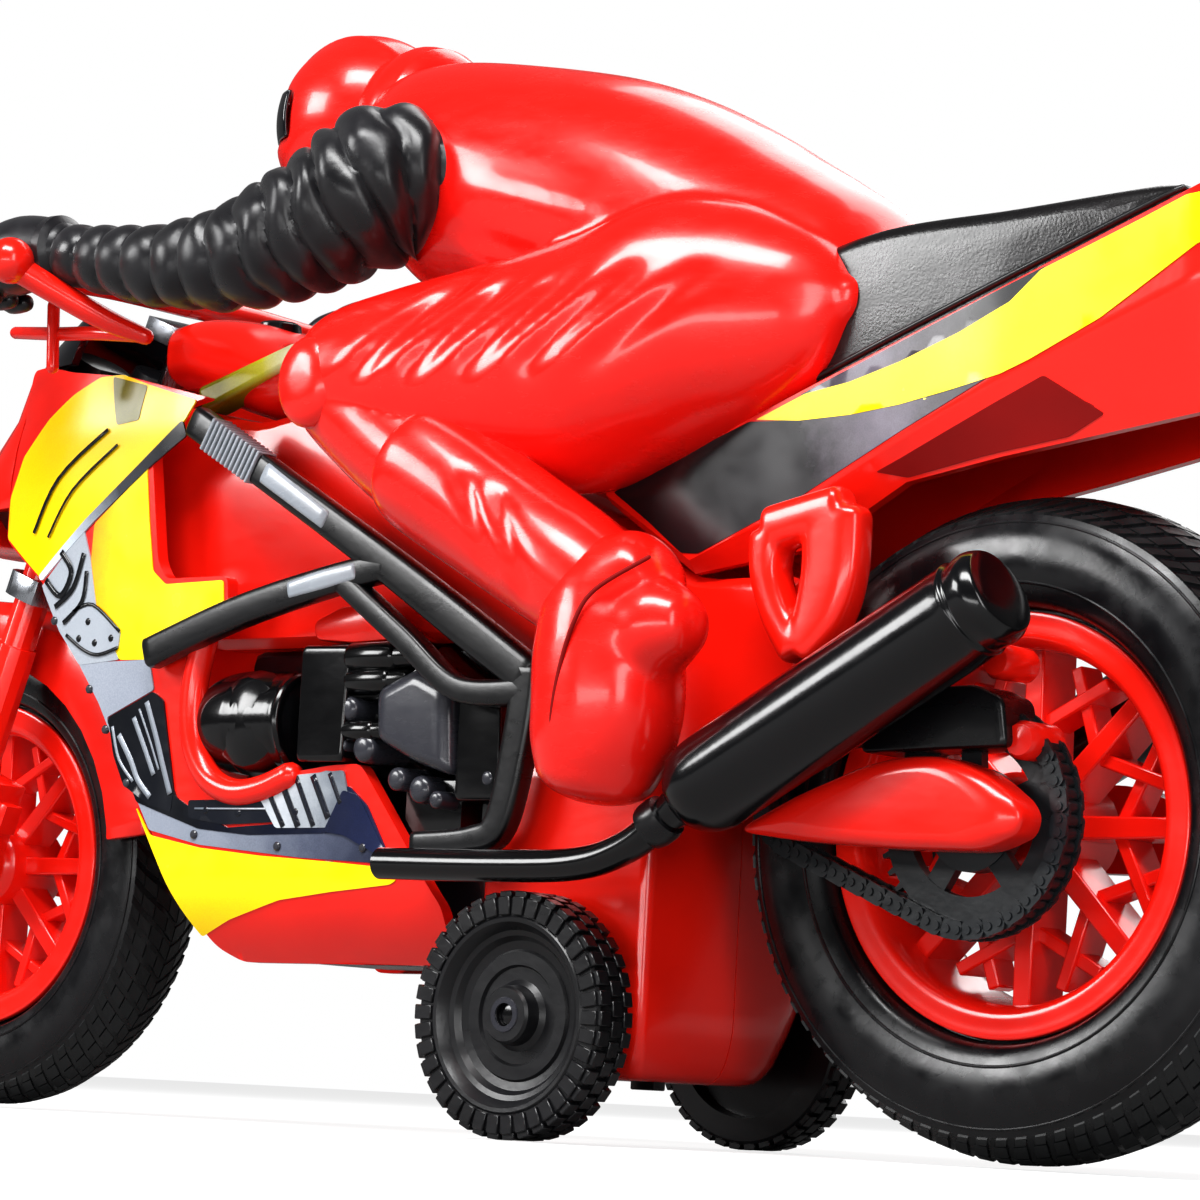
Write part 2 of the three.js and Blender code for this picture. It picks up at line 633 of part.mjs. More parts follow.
function seatForm(grow) {
  const stops = [
    { x: 40, top: 112, low: 93.4, half: 13 }, { x: 22, top: 117.3, low: 100.4, half: 13 },
    { x: 0, top: 118.6, low: 108.7, half: 12.6 }, { x: -20, top: 120, low: 116.6, half: 11.2 },
    { x: -23.5, top: 119.6, low: 118.1, half: 10.4 },
  ];
  return loft(stops.map(({ x, top, low, half }) => [
    [half, low], [half, top - 2], [half - 3, top - 0.4], [0, top], [3 - half, top - 0.4],
    [-half, top - 2], [-half, low],
  ].map(([y, z]) => new THREE.Vector3(x, y + Math.sign(y) * grow, z + (z > low ? grow : -grow)))));
}

// ---- Chassis fittings ----
const FRAME_BARS = [
  [[130, 97], [91, 75], 4.6], [[136.4, 64.6], [120, 69.6], 4.4], [[120, 69.6], [103.7, 72.8], 4.2],
  [[103.7, 72.8], [91, 75], 4.2], [[91, 75], [66, 60], 5.4], [[99, 73], [78, 58], 3.4],
  [[78, 58], [66, 57], 3.4], [[66, 60], [70, 39.4], 4.4], [[70, 39.4], [83, 37.8], 3.6],
];

const frameLeft = () => join(...FRAME_BARS.map(([start, end, width]) => (
  bar(start, end, width, FRAME_INNER, FRAME_OUTER))));

const EXHAUST_Y = 27.8;
const SILENCER_FRONT = [35.5, 43.2];
const SILENCER_BACK = [-11.5, 68.4];
const SILENCER_RADIUS = 6.3;

const exhaustPipeLeft = () => bentTube([
  [86, EXHAUST_Y, 35.2], [66, EXHAUST_Y, 35], [52, EXHAUST_Y, 35.4], [44, EXHAUST_Y, 37.6],
  [38, EXHAUST_Y, 41.4], [36.6, EXHAUST_Y, 42.3]], 2.1, 9, 8);

// A silencer turned about its own axis, with a coned front and a stepped end cap.
function silencerLeft() {
  const [x0, z0] = SILENCER_FRONT;
  const [x1, z1] = SILENCER_BACK;
  const length = Math.hypot(x1 - x0, z1 - z0);
  const loop = [
    [0, 0], [3.4, 0], [5.4, 2.4], [SILENCER_RADIUS, 6], [SILENCER_RADIUS, length - 4.6],
    [SILENCER_RADIUS - 0.5, length - 4.2], [SILENCER_RADIUS - 0.3, length - 1], [5.2, length],
    [3.6, length], [3.4, length - 3], [0, length - 3],
  ].map(([radius, y]) => new THREE.Vector2(radius, y));
  const lean = Math.atan2(x1 - x0, z1 - z0);
  return new THREE.LatheGeometry(loop, 16).rotateX(Math.PI / 2).rotateY(lean)
    .translate(x0, EXHAUST_Y, z0);
}

// The bracket that hangs the silencer from the tail, with a long hole.
function hangerLeft() {
  const corners = [[36, 73.5], [33, 80.2], [18, 87], [15.5, 66], [18, 60.5], [27, 59.5], [31, 66]];
  const plate = prism(outline(corners, 2), 16.4, 19.4, 0.7);
  const slot = prism(outline([[24.5, 65], [27.6, 66.5], [28.6, 75], [25.4, 74]], 1.4), 10, 22);
  const lug = rod([21, 63], 2.4, 18.8, 22.6, 12);
  return join(cut(plate, slot), lug);
}

// Two arms that hold the rear axle, joined by a cross tube ahead of the wheel.
function swingarm() {
  const corners = [
    [33.6, 37.2], [34.4, 46.6], [11, 49.2], [-2, 48.2], [-9, 45.4], [-9.8, 41.4], [-6, 37], [10, 35.6],
  ];
  const arm = prism(outline(corners, 2.4), 17.4, 21.2, 0.7);
  const bore = rod(REAR_AXLE, AXLE_RADIUS + GAP, 10, 30);
  return cut(arm, bore);
}

// The drive chain, its sprocket and the guard over them, moulded in one piece.
const CHAIN_Y = [12.9, 16.9];
const CHAIN_FRONT = [25.4, 44.6];
const CHAIN_GUARD = [[14, 49.8], [14, 57.6], [-3, 58], [-7, 56.4], [-8, 50.4]];

function chainLoop(rear, front) {
  const [x, z] = CHAIN_FRONT;
  const shape = new THREE.Shape();
  shape.absarc(REAR_AXLE[0], REAR_AXLE[1], rear, 0.53 * Math.PI, 1.47 * Math.PI, false);
  shape.absarc(x, z, front, -0.47 * Math.PI, 0.47 * Math.PI, false);
  return prism(shape, ...CHAIN_Y, 0, 10);
}

function chain() {
  const band = cut(chainLoop(15.4, 8), chainLoop(11.2, 5.2));
  const widen = cut(chainLoop(11.4, 5.4), prism(outline([[-20, 20], [40, 20], [40, 70], [-20, 70]]), -5, 5));
  const inside = common(widen, rod(REAR_AXLE, 8, ...CHAIN_Y, 24));
  const spokes = [0, 1, 2].map((i) => {
    const angle = Math.PI * (0.5 + i / 3);
    return bar(along(REAR_AXLE, angle, 13), along(REAR_AXLE, angle, -13), 3.4, 13.6, 16.2);
  });
  const guard = prism(outline(CHAIN_GUARD, 1), 13.6, 20.6, 0.5);
  return cut(join(band, inside, guard, ...spokes), rod(REAR_AXLE, AXLE_RADIUS + GAP, 10, 20));
}

// ---- Inside the body ----
const batteryPack = () => {
  const cells = [[92.5, 38], [92.5, 53], [107.5, 38], [107.5, 53]];
  return join(...cells.map((centre) => rod(centre, 7.2, -10.4, 10.4, 12)), box(92, 108, -10, 10, 37, 54));
};

function batteryDoor() {
  const plate = box(84.5, 119.5, -11, 11, 22.6, 24.4);
  const tab = box(119, 122, -4, 4, 23.6, 25.2);
  return cut(join(plate, tab), new THREE.CylinderGeometry(1.3, 1.3, 6, 12).rotateX(Math.PI / 2)
    .translate(88.5, 0, 23.5));
}

function circuitBoard() {
  const board = box(66, 128, -9.5, 9.5, 70.4, 72);
  const chips = [box(78, 88, -4, 4, 71.8, 74), box(100, 107, -6, 1, 71.8, 73.6), box(114, 122, -4, 5, 71.8, 79)];
  return join(board, ...chips);
}

function steeringServo() {
  return join(box(118, 138, -6, 6, 81, 95), rod([134, 88], 3, 5, 10));
}

// ---- Steering ----
// Heights here run along the steering axis from the front axle, before the group is raked.
const LOWER_CLAMP = 41;
const HEAD_LOW = 45.4;
const HEAD_HIGH = 59;
const UPPER_CLAMP = 60;
const BAR_HEIGHT = 88.5;

const post = (x, y, radius, z0, z1, sides = 12) => (
  new THREE.CylinderGeometry(radius, radius, z1 - z0, sides).rotateX(Math.PI / 2)
    .translate(x, y, (z0 + z1) / 2));

const raked = (geometry) => geometry.rotateY(-RAKE).translate(WHEELBASE, 0, FRONT_RADIUS);

// A clamp plate in plan: wide at the legs and narrow at the stem.
function clampPlate(z0, z1) {
  const half = FORK_Y + 3.2;
  const corners = [[-4, 5], [-3.4, half], [3.4, half], [4.4, 5], [4.4, -5], [3.4, -half], [-3.4, -half], [-4, -5]];
  const shape = outline(corners, 1.6);
  return new THREE.ExtrudeGeometry(shape, { depth: z1 - z0, bevelEnabled: false, curveSegments: 2 })
    .translate(0, 0, z0);
}

function steeringStem() {
  const bores = [-FORK_Y, FORK_Y].map((y) => post(0, y, 2.6 + GAP, 40, 80));
  const plates = [clampPlate(LOWER_CLAMP, LOWER_CLAMP + 3.6), clampPlate(UPPER_CLAMP, UPPER_CLAMP + 2.6)];
  const top = new THREE.BoxGeometry(7, 9, 3).translate(1, 0, BAR_HEIGHT - 4.5);
  return raked(cut(join(post(0, 0, STEM_RADIUS, LOWER_CLAMP, BAR_HEIGHT - 4), top, ...plates), ...bores));
}

function steeringHead() {
  const tube = raked(post(0, 0, 5, HEAD_LOW, HEAD_HIGH, 20));
  const bore = raked(post(0, 0, STEM_RADIUS + BORE_PLAY, HEAD_LOW - 2, HEAD_HIGH + 2));
  const web = prism(outline([[150.4, 81], [150.4, 91.6], [157.6, 91], [160, 88], [166, 88], [169.4, 80.4]]), -3, 3);
  const foot = box(150.4, 152.4, -7, 7, 84, 96);
  return cut(join(tube, web, foot), bore);
}

// One leg: a slim upper tube, a thick slider, an axle lug and a brake caliper behind it.
function forkLeft() {
  const leg = join(
    post(0, FORK_Y, 2.6, 20, UPPER_CLAMP + 3),
    post(0, FORK_Y, 3.1, -1, 34),
    rod([0, 0], 4, FORK_Y - 3, FORK_Y + 3),
    box(-8.6, -1, FORK_Y - 2.4, FORK_Y + 2.8, 5, 15),
    box(-10.4, -6, FORK_Y - 1.4, FORK_Y + 1.8, 8, 12.4));
  return raked(cut(leg, rod([0, 0], AXLE_RADIUS + GAP, FORK_Y - 5, FORK_Y + 5, 12)));
}

// A guard over the tyre with deep sides, open below.
function frontFender() {
  const inner = FRONT_RADIUS + 1.8;
  const skirt = FRONT_RADIUS - 6;
  const half = FRONT_TYRE_WIDTH / 2 - 0.6;
  const ring = turned([
    [skirt, half + 1.6], [skirt, half + 2.8], [inner - 0.4, half + 2.8], [inner + 1.6, half + 0.6],
    [inner + 1.6, -half - 0.6], [inner - 0.4, -half - 2.8], [skirt, -half - 2.8], [skirt, -half - 1.6],
    [inner - 0.8, -half - 1.6], [inner, -half], [inner, half], [inner - 0.8, half + 1.6],
  ], FRONT_AXLE, 36);
  const [x, z] = FRONT_AXLE;
  const wedge = [[x, z], [x + 44, z + 30], [x + 44, z + 50], [x - 44, z + 50], [x - 44, z + 5]];
  return common(ring, prism(outline(wedge), -20, 20));
}

// The clip-on bars with round ends and a lever in front of each.
const barPath = (side) => [
  [2.6, 0, BAR_HEIGHT], [3.2, side * 14, BAR_HEIGHT], [2.8, side * 27, BAR_HEIGHT - 0.5],
  [1, side * 42, BAR_HEIGHT - 0.4]];

const handlebar = () => {
  const half = (side) => [
    bentTube(barPath(side), 1.8, 6, 8),
    new THREE.SphereGeometry(3.3, 10, 7).translate(1, side * 42, BAR_HEIGHT - 0.4),
    bentTube([[3, side * 23.5, BAR_HEIGHT - 1], [8, side * 25, BAR_HEIGHT - 3],
      [9.5, side * 33, BAR_HEIGHT - 4], [8.5, side * 43, BAR_HEIGHT - 4.4]], 1, 6, 6),
  ];
  const centre = new THREE.CylinderGeometry(2.6, 2.6, 10, 14).translate(2.6, 0, BAR_HEIGHT);
  return raked(join(centre, ...half(1), ...half(-1)));
};

const GLOVE_WRIST = [147.2, 35, 120.4];

function gloveLeft() {
  const hand = limb([
    [...GLOVE_WRIST, 4.1], [150, 35.4, 120.8, 4.8], [154, 35.6, 120.6, 5.4], [158, 35.6, 119.6, 5.2],
    [161.4, 35.6, 117.4, 4], [162.8, 35.6, 115.6, 2.2],
  ], 10);
  return cut(hand, raked(bentTube(barPath(1), 1.8 + GAP, 6, 8)),
    raked(new THREE.SphereGeometry(3.3 + GAP, 10, 7).translate(1, 42, BAR_HEIGHT - 0.4)),
    raked(bentTube([[3, 23.5, BAR_HEIGHT - 1], [8, 25, BAR_HEIGHT - 3],
      [9.5, 33, BAR_HEIGHT - 4], [8.5, 43, BAR_HEIGHT - 4.4]], 1 + GAP, 6, 6)));
}

// ---- Rider ----
const TORSO = [
  [37, 112, 5, 7], [40, 112, 12, 14], [46, 114.4, 17, 18.6], [56, 118.4, 20.2, 21.6],
  [70, 124, 20, 23], [85, 128.6, 18.4, 24], [98, 131.2, 17.6, 23], [107, 134.6, 13.6, 17.6],
  [113, 137.4, 8.6, 10],
];
const torsoForm = (grow) => loft(TORSO.map(([x, z, height, width]) => (
  ovalRing(x, z, height + grow, width + grow, 16, 2.2))));

const SLEEVE = [
  [95, 22.5, 128.4, 10.6], [102, 26.4, 124, 9.8], [110, 29.4, 120, 8.4], [119, 31.6, 117.6, 6.9],
  [129, 33.4, 117.4, 5.6], [138, 34.4, 118.6, 4.8], [146.6, 35, 120.2, 4.1],
];
const sleeveLeft = (grow = 0) => limb(SLEEVE, 14, grow);

const torso = () => cut(torsoForm(0), sleeveLeft(GAP), mirrored(sleeveLeft(GAP)), tank(GAP));

const HEAD = [122.5, 0, 143.2];
const HEAD_RADIUS = 12.8;
const headForm = (radius) => new THREE.SphereGeometry(radius, 16, 10).rotateX(Math.PI / 2)
  .scale(1.06, 0.94, 1).translate(...HEAD);
const VISOR_BOX = [127, 140, -12, 12, 137.5, 147];

const helmet = () => cut(headForm(HEAD_RADIUS), torsoForm(GAP),
  cut(box(...VISOR_BOX), headForm(HEAD_RADIUS - 1.4)));

function visor() {
  const [x0, x1, y0, y1, z0, z1] = VISOR_BOX;
  const window = box(x0 + GAP, x1, y0 + GAP, y1 - GAP, z0 + GAP, z1 - GAP);
  return cut(common(headForm(HEAD_RADIUS), window), headForm(HEAD_RADIUS - 1.4 + GAP));
}

function legLeft() {
  const thigh = limb([
    [41, 13, 107, 10], [50, 16, 106.4, 15], [62, 20, 104.8, 14.6], [76, 24.4, 103.4, 12.6],
    [88, 28, 102, 10.6], [96, 29.6, 100.2, 8.6], [100.6, 30, 99, 5],
  ], 12);
  const shin = limb([
    [99, 30, 101.6, 5.4], [94.6, 30, 98.8, 8.2], [83, 30, 89.4, 8], [66, 30, 79.4, 7.8],
    [50, 30, 70.4, 7.6], [42, 30, 64, 6.4],
  ], 10);
  const boot = limb([
    [37.4, 30, 71, 5], [42.4, 30, 68.4, 8.4], [45.6, 30, 62, 9.4], [45.6, 30, 54, 9], [44, 30, 47.4, 8],
    [43.6, 30, 44.4, 6.6],
  ], 10);
  const heel = limb([[36, 30, 66, 6], [32.8, 30, 66, 4.8], [30.6, 30, 65.6, 2.6]], 8);
  const seat = loft(TAIL.map((step) => tailRing(step, -GAP, -1)));
  return cut(join(thigh, shin, boot, heel), torsoForm(GAP), seat, seatForm(GAP));
}

// ---- Assembly ----
const leftAndRight = (name, geometry, surface) => [
  [`${name}_left`, geometry, surface], [`${name}_right`, mirrored(geometry), surface]];

const PARTS = [
  ...tyreAndRim('rear', REAR_AXLE, REAR_RADIUS, REAR_TYRE_WIDTH, REAR_FLANGE, 16.4),
  ['rear_axle', rod(REAR_AXLE, AXLE_RADIUS, -23, 23), STEEL],
  ...tyreAndRim('front', FRONT_AXLE, FRONT_RADIUS, FRONT_TYRE_WIDTH, FRONT_FLANGE, 12.4),
  ['front_axle', rod(FRONT_AXLE, AXLE_RADIUS, -18.6, 18.6), STEEL],
  ...leftAndRight('side_wheel', driveWheel(), RUBBER),
  ['drive_axle', driveAxle(), STEEL],
  ['idler_gear', idlerGear(), NYLON],
  ['pinion', pinion(), BRASS],
  ['motor', motor(), STEEL],
  ['pod_left', podLeft(), RED],
  ['pod_right', podRight(), RED],
  ['power_switch', powerSwitch(), BLACK],
  ...leftAndRight('body', bodyLeft(), RED),
  ...leftAndRight('engine', engineLeft(), BLACK),
  ['battery_pack', batteryPack(), SHRINK],
  ['battery_door', batteryDoor(), RED],
  ['circuit_board', circuitBoard(), BOARD],
  ['steering_servo', steeringServo(), SATIN_BLACK],
  ...leftAndRight('fairing', fairingLeft(), RED),
  ['nose_cowl', noseCowl(), RED],
  ['headlight', headlight(), LENS],
  ['windscreen', windscreen(), SMOKED],
  ['cockpit', cockpit(), BLACK],
  ['tank', tank(), RED],
  ['seat', cut(seatForm(0), torsoForm(GAP)), BLACK],
  ...leftAndRight('tail', tailLeft(), RED),
  ['tail_light', tailLight(), DEEP_RED],
  ...leftAndRight('frame', frameLeft(), SATIN_BLACK),
  ...leftAndRight('exhaust_pipe', exhaustPipeLeft(), BLACK),
  ...leftAndRight('silencer', silencerLeft(), BLACK),
  ...leftAndRight('hanger', hangerLeft(), RED),
  ...leftAndRight('swingarm', swingarm(), RED),
  ['chain', chain(), BLACK],
  ['steering_head', steeringHead(), RED],
  ['steering_stem', steeringStem(), RED],
  ...leftAndRight('fork', forkLeft(), RED),
  ['front_fender', frontFender(), RED],
  ['handlebar', handlebar(), RED],
  ...leftAndRight('glove', gloveLeft(), BLACK),
  ...leftAndRight('sleeve', sleeveLeft(), RUBBER),
  ['torso', torso(), RED],
  ['helmet', helmet(), RED],
  ['visor', visor(), SMOKED],
  ...leftAndRight('leg', legLeft(), RED),
];

const motorcycle = new THREE.Group();
motorcycle.position.x = REAR_AXLE_X;
for (const [name, geometry, surface] of PARTS) {
  const mesh = new THREE.Mesh(closed(geometry), surface);
  mesh.name = name;
  motorcycle.add(mesh);
}

export default motorcycle;
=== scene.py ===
"""A radio-controlled toy motorcycle with its rider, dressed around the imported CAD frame."""
import math
import bmesh
import bpy
from mathutils import Matrix, Vector, noise
from mathutils.geometry import delaunay_2d_cdt
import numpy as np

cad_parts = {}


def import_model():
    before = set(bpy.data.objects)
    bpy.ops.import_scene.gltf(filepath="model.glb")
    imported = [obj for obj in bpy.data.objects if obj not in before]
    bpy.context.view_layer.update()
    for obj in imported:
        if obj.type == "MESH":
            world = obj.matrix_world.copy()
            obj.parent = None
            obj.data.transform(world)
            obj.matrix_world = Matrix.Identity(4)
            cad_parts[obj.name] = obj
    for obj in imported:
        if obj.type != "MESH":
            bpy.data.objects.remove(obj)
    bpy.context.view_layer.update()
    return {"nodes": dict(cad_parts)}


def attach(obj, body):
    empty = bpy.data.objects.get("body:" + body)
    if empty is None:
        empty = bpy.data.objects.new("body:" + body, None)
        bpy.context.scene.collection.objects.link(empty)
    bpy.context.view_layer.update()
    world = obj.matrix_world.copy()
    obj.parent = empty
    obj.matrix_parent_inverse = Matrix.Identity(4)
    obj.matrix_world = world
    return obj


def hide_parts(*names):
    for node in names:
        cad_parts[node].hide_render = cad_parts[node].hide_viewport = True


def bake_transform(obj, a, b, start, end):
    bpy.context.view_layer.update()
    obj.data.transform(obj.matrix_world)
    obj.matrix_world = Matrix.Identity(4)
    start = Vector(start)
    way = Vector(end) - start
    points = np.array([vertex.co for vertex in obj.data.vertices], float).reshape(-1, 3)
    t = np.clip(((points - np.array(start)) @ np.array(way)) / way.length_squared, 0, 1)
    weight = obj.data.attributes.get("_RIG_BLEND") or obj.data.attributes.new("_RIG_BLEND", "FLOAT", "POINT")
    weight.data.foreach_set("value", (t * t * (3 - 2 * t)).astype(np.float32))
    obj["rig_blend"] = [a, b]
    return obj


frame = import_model()
NODES = frame["nodes"]
SIDES = (("left", 1), ("right", -1))

# Lengths below are millimetres from the rear tyre's place on the floor, as in part.mjs.
MM = 0.001
CENTRE_X = 87.5
REAR_AXLE, FRONT_AXLE, DRIVE_AXLE = (0, 42), (187, 36), (62.5, 16)
RAKE = math.radians(21)


def at(x, y, z):
    return ((x - CENTRE_X) * MM, y * MM, z * MM)


def lerp(t, a, b):
    return a + (b - a) * t


def ramp(x, x0, y0, x1, y1):
    return lerp(min(1, max(0, (x - x0) / (x1 - x0))), y0, y1)


def around(count):
    """Angles in equal steps round a circle."""
    return [2 * math.pi * k / count for k in range(count)]


# ---- Materials ----
def new_look(name):
    look = bpy.data.materials.new(name)
    look.use_nodes = True
    tree = look.node_tree
    shader = tree.nodes["Principled BSDF"]
    return look, tree, shader


def node(tree, kind, links=(), **values):
    made = tree.nodes.new(kind)
    for key, value in values.items():
        setattr(made, key, value)
    for name, value in links:
        if isinstance(value, bpy.types.NodeSocket):
            tree.links.new(value, made.inputs[name])
        else:
            made.inputs[name].default_value = value
    return made


def rgb(code):
    """A hex colour as linear RGBA."""
    parts = [int(code[i:i + 2], 16) / 255 for i in (0, 2, 4)]
    return [c / 12.92 if c < 0.04045 else ((c + 0.055) / 1.055) ** 2.4 for c in parts] + [1]


def coords(tree, scale=(1, 1, 1)):
    """Object coordinates, scaled."""
    place = node(tree, "ShaderNodeTexCoord")
    return node(tree, "ShaderNodeMapping", [("Vector", place.outputs["Object"]),
            ("Scale", scale)]).outputs["Vector"]


def noise_of(tree, where, scale, detail=3, rough=0.5):
    return node(tree, "ShaderNodeTexNoise", [
        ("Vector", where), ("Scale", scale), ("Detail", detail), ("Roughness", rough)]).outputs["Fac"]


def mix(tree, fac, a, b, blend="MIX"):
    made = node(tree, "ShaderNodeMix", data_type="RGBA", blend_type=blend)
    for slot, value in ((0, fac), (6, a), (7, b)):
        if isinstance(value, bpy.types.NodeSocket):
            tree.links.new(value, made.inputs[slot])
        else:
            made.inputs[slot].default_value = value
    return made.outputs[2]


def spread(tree, value, low, high, start=0.3, end=0.7):
    return node(tree, "ShaderNodeMapRange", [
        ("Value", value), ("From Min", start), ("From Max", end), ("To Min", low),
        ("To Max", high)]).outputs["Result"]


def moulded(name, base, dark, rough=0.3, coat=0.0, grain=900, bump=0.02, patch=26, flow=0.12):
    """Injection-moulded plastic: cloudy colour, uneven gloss and a fine skin."""
    look, tree, shader = new_look(name)
    where = coords(tree)
    cloud = noise_of(tree, where, patch, 4)
    fine = noise_of(tree, where, grain, 2)
    tone = mix(tree, spread(tree, cloud, 0, 1), rgb(base), rgb(dark))
    tree.links.new(tone, shader.inputs["Base Color"])
    scuff = noise_of(tree, coords(tree, (1, 1, 3)), 140, 5, 0.65)
    gloss = spread(tree, scuff, rough * (1 - flow), rough * (1 + flow) + 0.02)
    tree.links.new(gloss, shader.inputs["Roughness"])
    waves = noise_of(tree, where, 95, 2)
    height = node(tree, "ShaderNodeMath", [(0, fine), (1, spread(tree, waves, 0, 2.5, 0, 1))],
                  operation="ADD")
    relief = node(tree, "ShaderNodeBump", [
        ("Height", height.outputs[0]), ("Strength", bump * 8), ("Distance", 0.00006)])
    tree.links.new(relief.outputs["Normal"], shader.inputs["Normal"])
    shader.inputs["Coat Weight"].default_value = coat
    shader.inputs["Coat Roughness"].default_value = 0.08
    return look


def rubbery(name, base, light, rough=0.55, bump=0.5, grain=1400, sheen=0.0):
    look, tree, shader = new_look(name)
    where = coords(tree)
    tone = mix(tree, spread(tree, noise_of(tree, where, 60, 5), 0, 1), rgb(base), rgb(light))
    tree.links.new(tone, shader.inputs["Base Color"])
    tree.links.new(spread(tree, noise_of(tree, where, 240, 4), rough - 0.08, rough + 0.1),
                   shader.inputs["Roughness"])
    relief = node(tree, "ShaderNodeBump", [
        ("Height", noise_of(tree, where, grain, 3)), ("Strength", bump), ("Distance", 0.00005)])
    tree.links.new(relief.outputs["Normal"], shader.inputs["Normal"])
    shader.inputs["Sheen Weight"].default_value = sheen
    return look


def metal(name, base, rough=0.3, along=(1, 30, 1)):
    look, tree, shader = new_look(name)
    where = coords(tree, along)
    tone = mix(tree, noise_of(tree, where, 120, 4), rgb(base), [c * 0.62 for c in rgb(base)[:3]] + [1])
    tree.links.new(tone, shader.inputs["Base Color"])
    tree.links.new(spread(tree, noise_of(tree, where, 300, 3), rough * 0.7, rough * 1.3),
                   shader.inputs["Roughness"])
    relief = node(tree, "ShaderNodeBump", [
        ("Height", noise_of(tree, where, 500, 3)), ("Strength", 0.2), ("Distance", 0.00004)])
    tree.links.new(relief.outputs["Normal"], shader.inputs["Normal"])
    shader.inputs["Metallic"].default_value = 1
    return look


def along_axis(tree, direction, start, end, origin=(0, 0, 0)):
    """A ramp from 0 to 1 along a direction in object space, between two distances in metres."""
    place = node(tree, "ShaderNodeTexCoord").outputs["Object"]
    moved = node(tree, "ShaderNodeVectorMath", [(0, place), (1, origin)], operation="SUBTRACT")
    dot = node(tree, "ShaderNodeVectorMath", [(0, moved.outputs[0]), (1, direction)], operation="DOT_PRODUCT")
    return node(tree, "ShaderNodeMapRange", [
        ("Value", dot.outputs["Value"]), ("From Min", start), ("From Max", end)]).outputs["Result"]


def printed(name, stops, start, end, rough=0.22, metallic=0.0, speck=0.06):
    """A glossy sticker film whose ink fades through stops of (position, colour) from one point to another."""
    look, tree, shader = new_look(name)
    a, b = Vector(start), Vector(end)
    run = (b - a).normalized()
    fade = along_axis(tree, run, 0, (b - a).length, a)
    wobble = noise_of(tree, coords(tree), 420, 4)
    shifted = node(tree, "ShaderNodeMath", [(0, fade), (1, spread(tree, wobble, -speck, speck, 0, 1))],
                   operation="ADD")
    band = node(tree, "ShaderNodeValToRGB", [("Fac", shifted.outputs[0])])
    ink = band.color_ramp.elements
    while len(ink) < len(stops):
        ink.new(0.5)
    for element, (place, colour) in zip(ink, stops):
        element.position = place
        element.color = rgb(colour)
    dots = noise_of(tree, coords(tree), 5200, 1)
    tone = mix(tree, 0.12, band.outputs["Color"],
               mix(tree, spread(tree, dots, 0, 1), (0, 0, 0, 1), (1, 1, 1, 1)), "SOFT_LIGHT")
    tree.links.new(tone, shader.inputs["Base Color"])
    tree.links.new(spread(tree, noise_of(tree, coords(tree), 160, 4), rough * 0.8, rough * 1.25),
                   shader.inputs["Roughness"])
    relief = node(tree, "ShaderNodeBump", [
        ("Height", noise_of(tree, coords(tree), 600, 2)), ("Strength", 0.1), ("Distance", 0.00003)])
    tree.links.new(relief.outputs["Normal"], shader.inputs["Normal"])
    shader.inputs["Metallic"].default_value = metallic
    return look


RED = moulded("red_plastic", "F2200F", "E4180B", 0.22, coat=0.35)
SUIT = moulded("red_suit", "F41E13", "E2150D", 0.24, coat=0.35, flow=0.2)
# Darker red with low specular: painted shade on the sheet over the tail's recess, and also the boot seam's own
# darker colour.
SEAM_AND_SHADE_RED = moulded("seam_and_painted_shade_red", "8E0F0D", "6E0B09", 0.5)
SEAM_AND_SHADE_RED.node_tree.nodes["Principled BSDF"].inputs["Specular IOR Level"].default_value = 0.15
BLACK = moulded("black_plastic", "050506", "0A0A0D", 0.16, coat=0.15)
SATIN = moulded("satin_black", "08080A", "101013", 0.28, coat=0.1, bump=0.03)
DARK_GREY = moulded("dark_grey", "34353C", "26262D", 0.26, coat=0.3)
SILVER = moulded("silver_paint", "A9AFB6", "7E858D", 0.26, coat=0.3, flow=0.3)
SEAT = moulded("seat_vinyl", "0B0B0D", "171314", 0.26, coat=0.2, bump=0.08, grain=2600)
TYRE = rubbery("tyre_rubber", "08080A", "101013", 0.26, 0.2)
TREAD = rubbery("tread_rubber", "0A0B0C", "1A1C1E", 0.42, 0.5)
BELLOWS = rubbery("bellows_rubber", "0B0B0E", "18171C", 0.32, 0.4, sheen=0.1)
CHAIN = moulded("chain_plastic", "0E1011", "22262A", 0.3, bump=0.06)
WHEEL = moulded("drive_wheel", "0B0B0D", "17171A", 0.3, bump=0.05)
STEEL = metal("steel", "B9BCC2", 0.28)
BRASS = metal("brass", "C9A24B", 0.3)
VISOR = moulded("smoked_visor", "0B0C10", "14151B", 0.08, coat=0.6, bump=0.0)
NYLON = moulded("nylon", "E6E4DB", "D6D3C6", 0.45)
BOARD = moulded("board_green", "1B6A3B", "14522D", 0.35)
SHRINK = moulded("shrink_blue", "2056A6", "18478D", 0.3)
CLEAR = moulded("lamp_lens", "DDE3EA", "C4CCD6", 0.06, coat=0.6, bump=0.0)
LAMP_RED = moulded("lamp_red", "9C1210", "6E0B0B", 0.1, coat=0.6, bump=0.0)


# ---- Mesh code ----
# A box's faces over two rings of four points, and over points in the order of nested loops.
BOX_FACES = [[0, 1, 2, 3], [7, 6, 5, 4]] + [[i, (i + 1) % 4, (i + 1) % 4 + 4, i + 4] for i in range(4)]
GRID_FACES = [[0, 1, 3, 2], [4, 6, 7, 5], [0, 4, 5, 1], [2, 3, 7, 6], [0, 2, 6, 4], [1, 5, 7, 3]]


def shade(mesh, angle=40):
    """Smooth shading, with edges sharper than the angle left hard."""
    mesh.polygons.foreach_set("use_smooth", [True] * len(mesh.polygons))
    mesh.set_sharp_from_angle(angle=math.radians(angle))


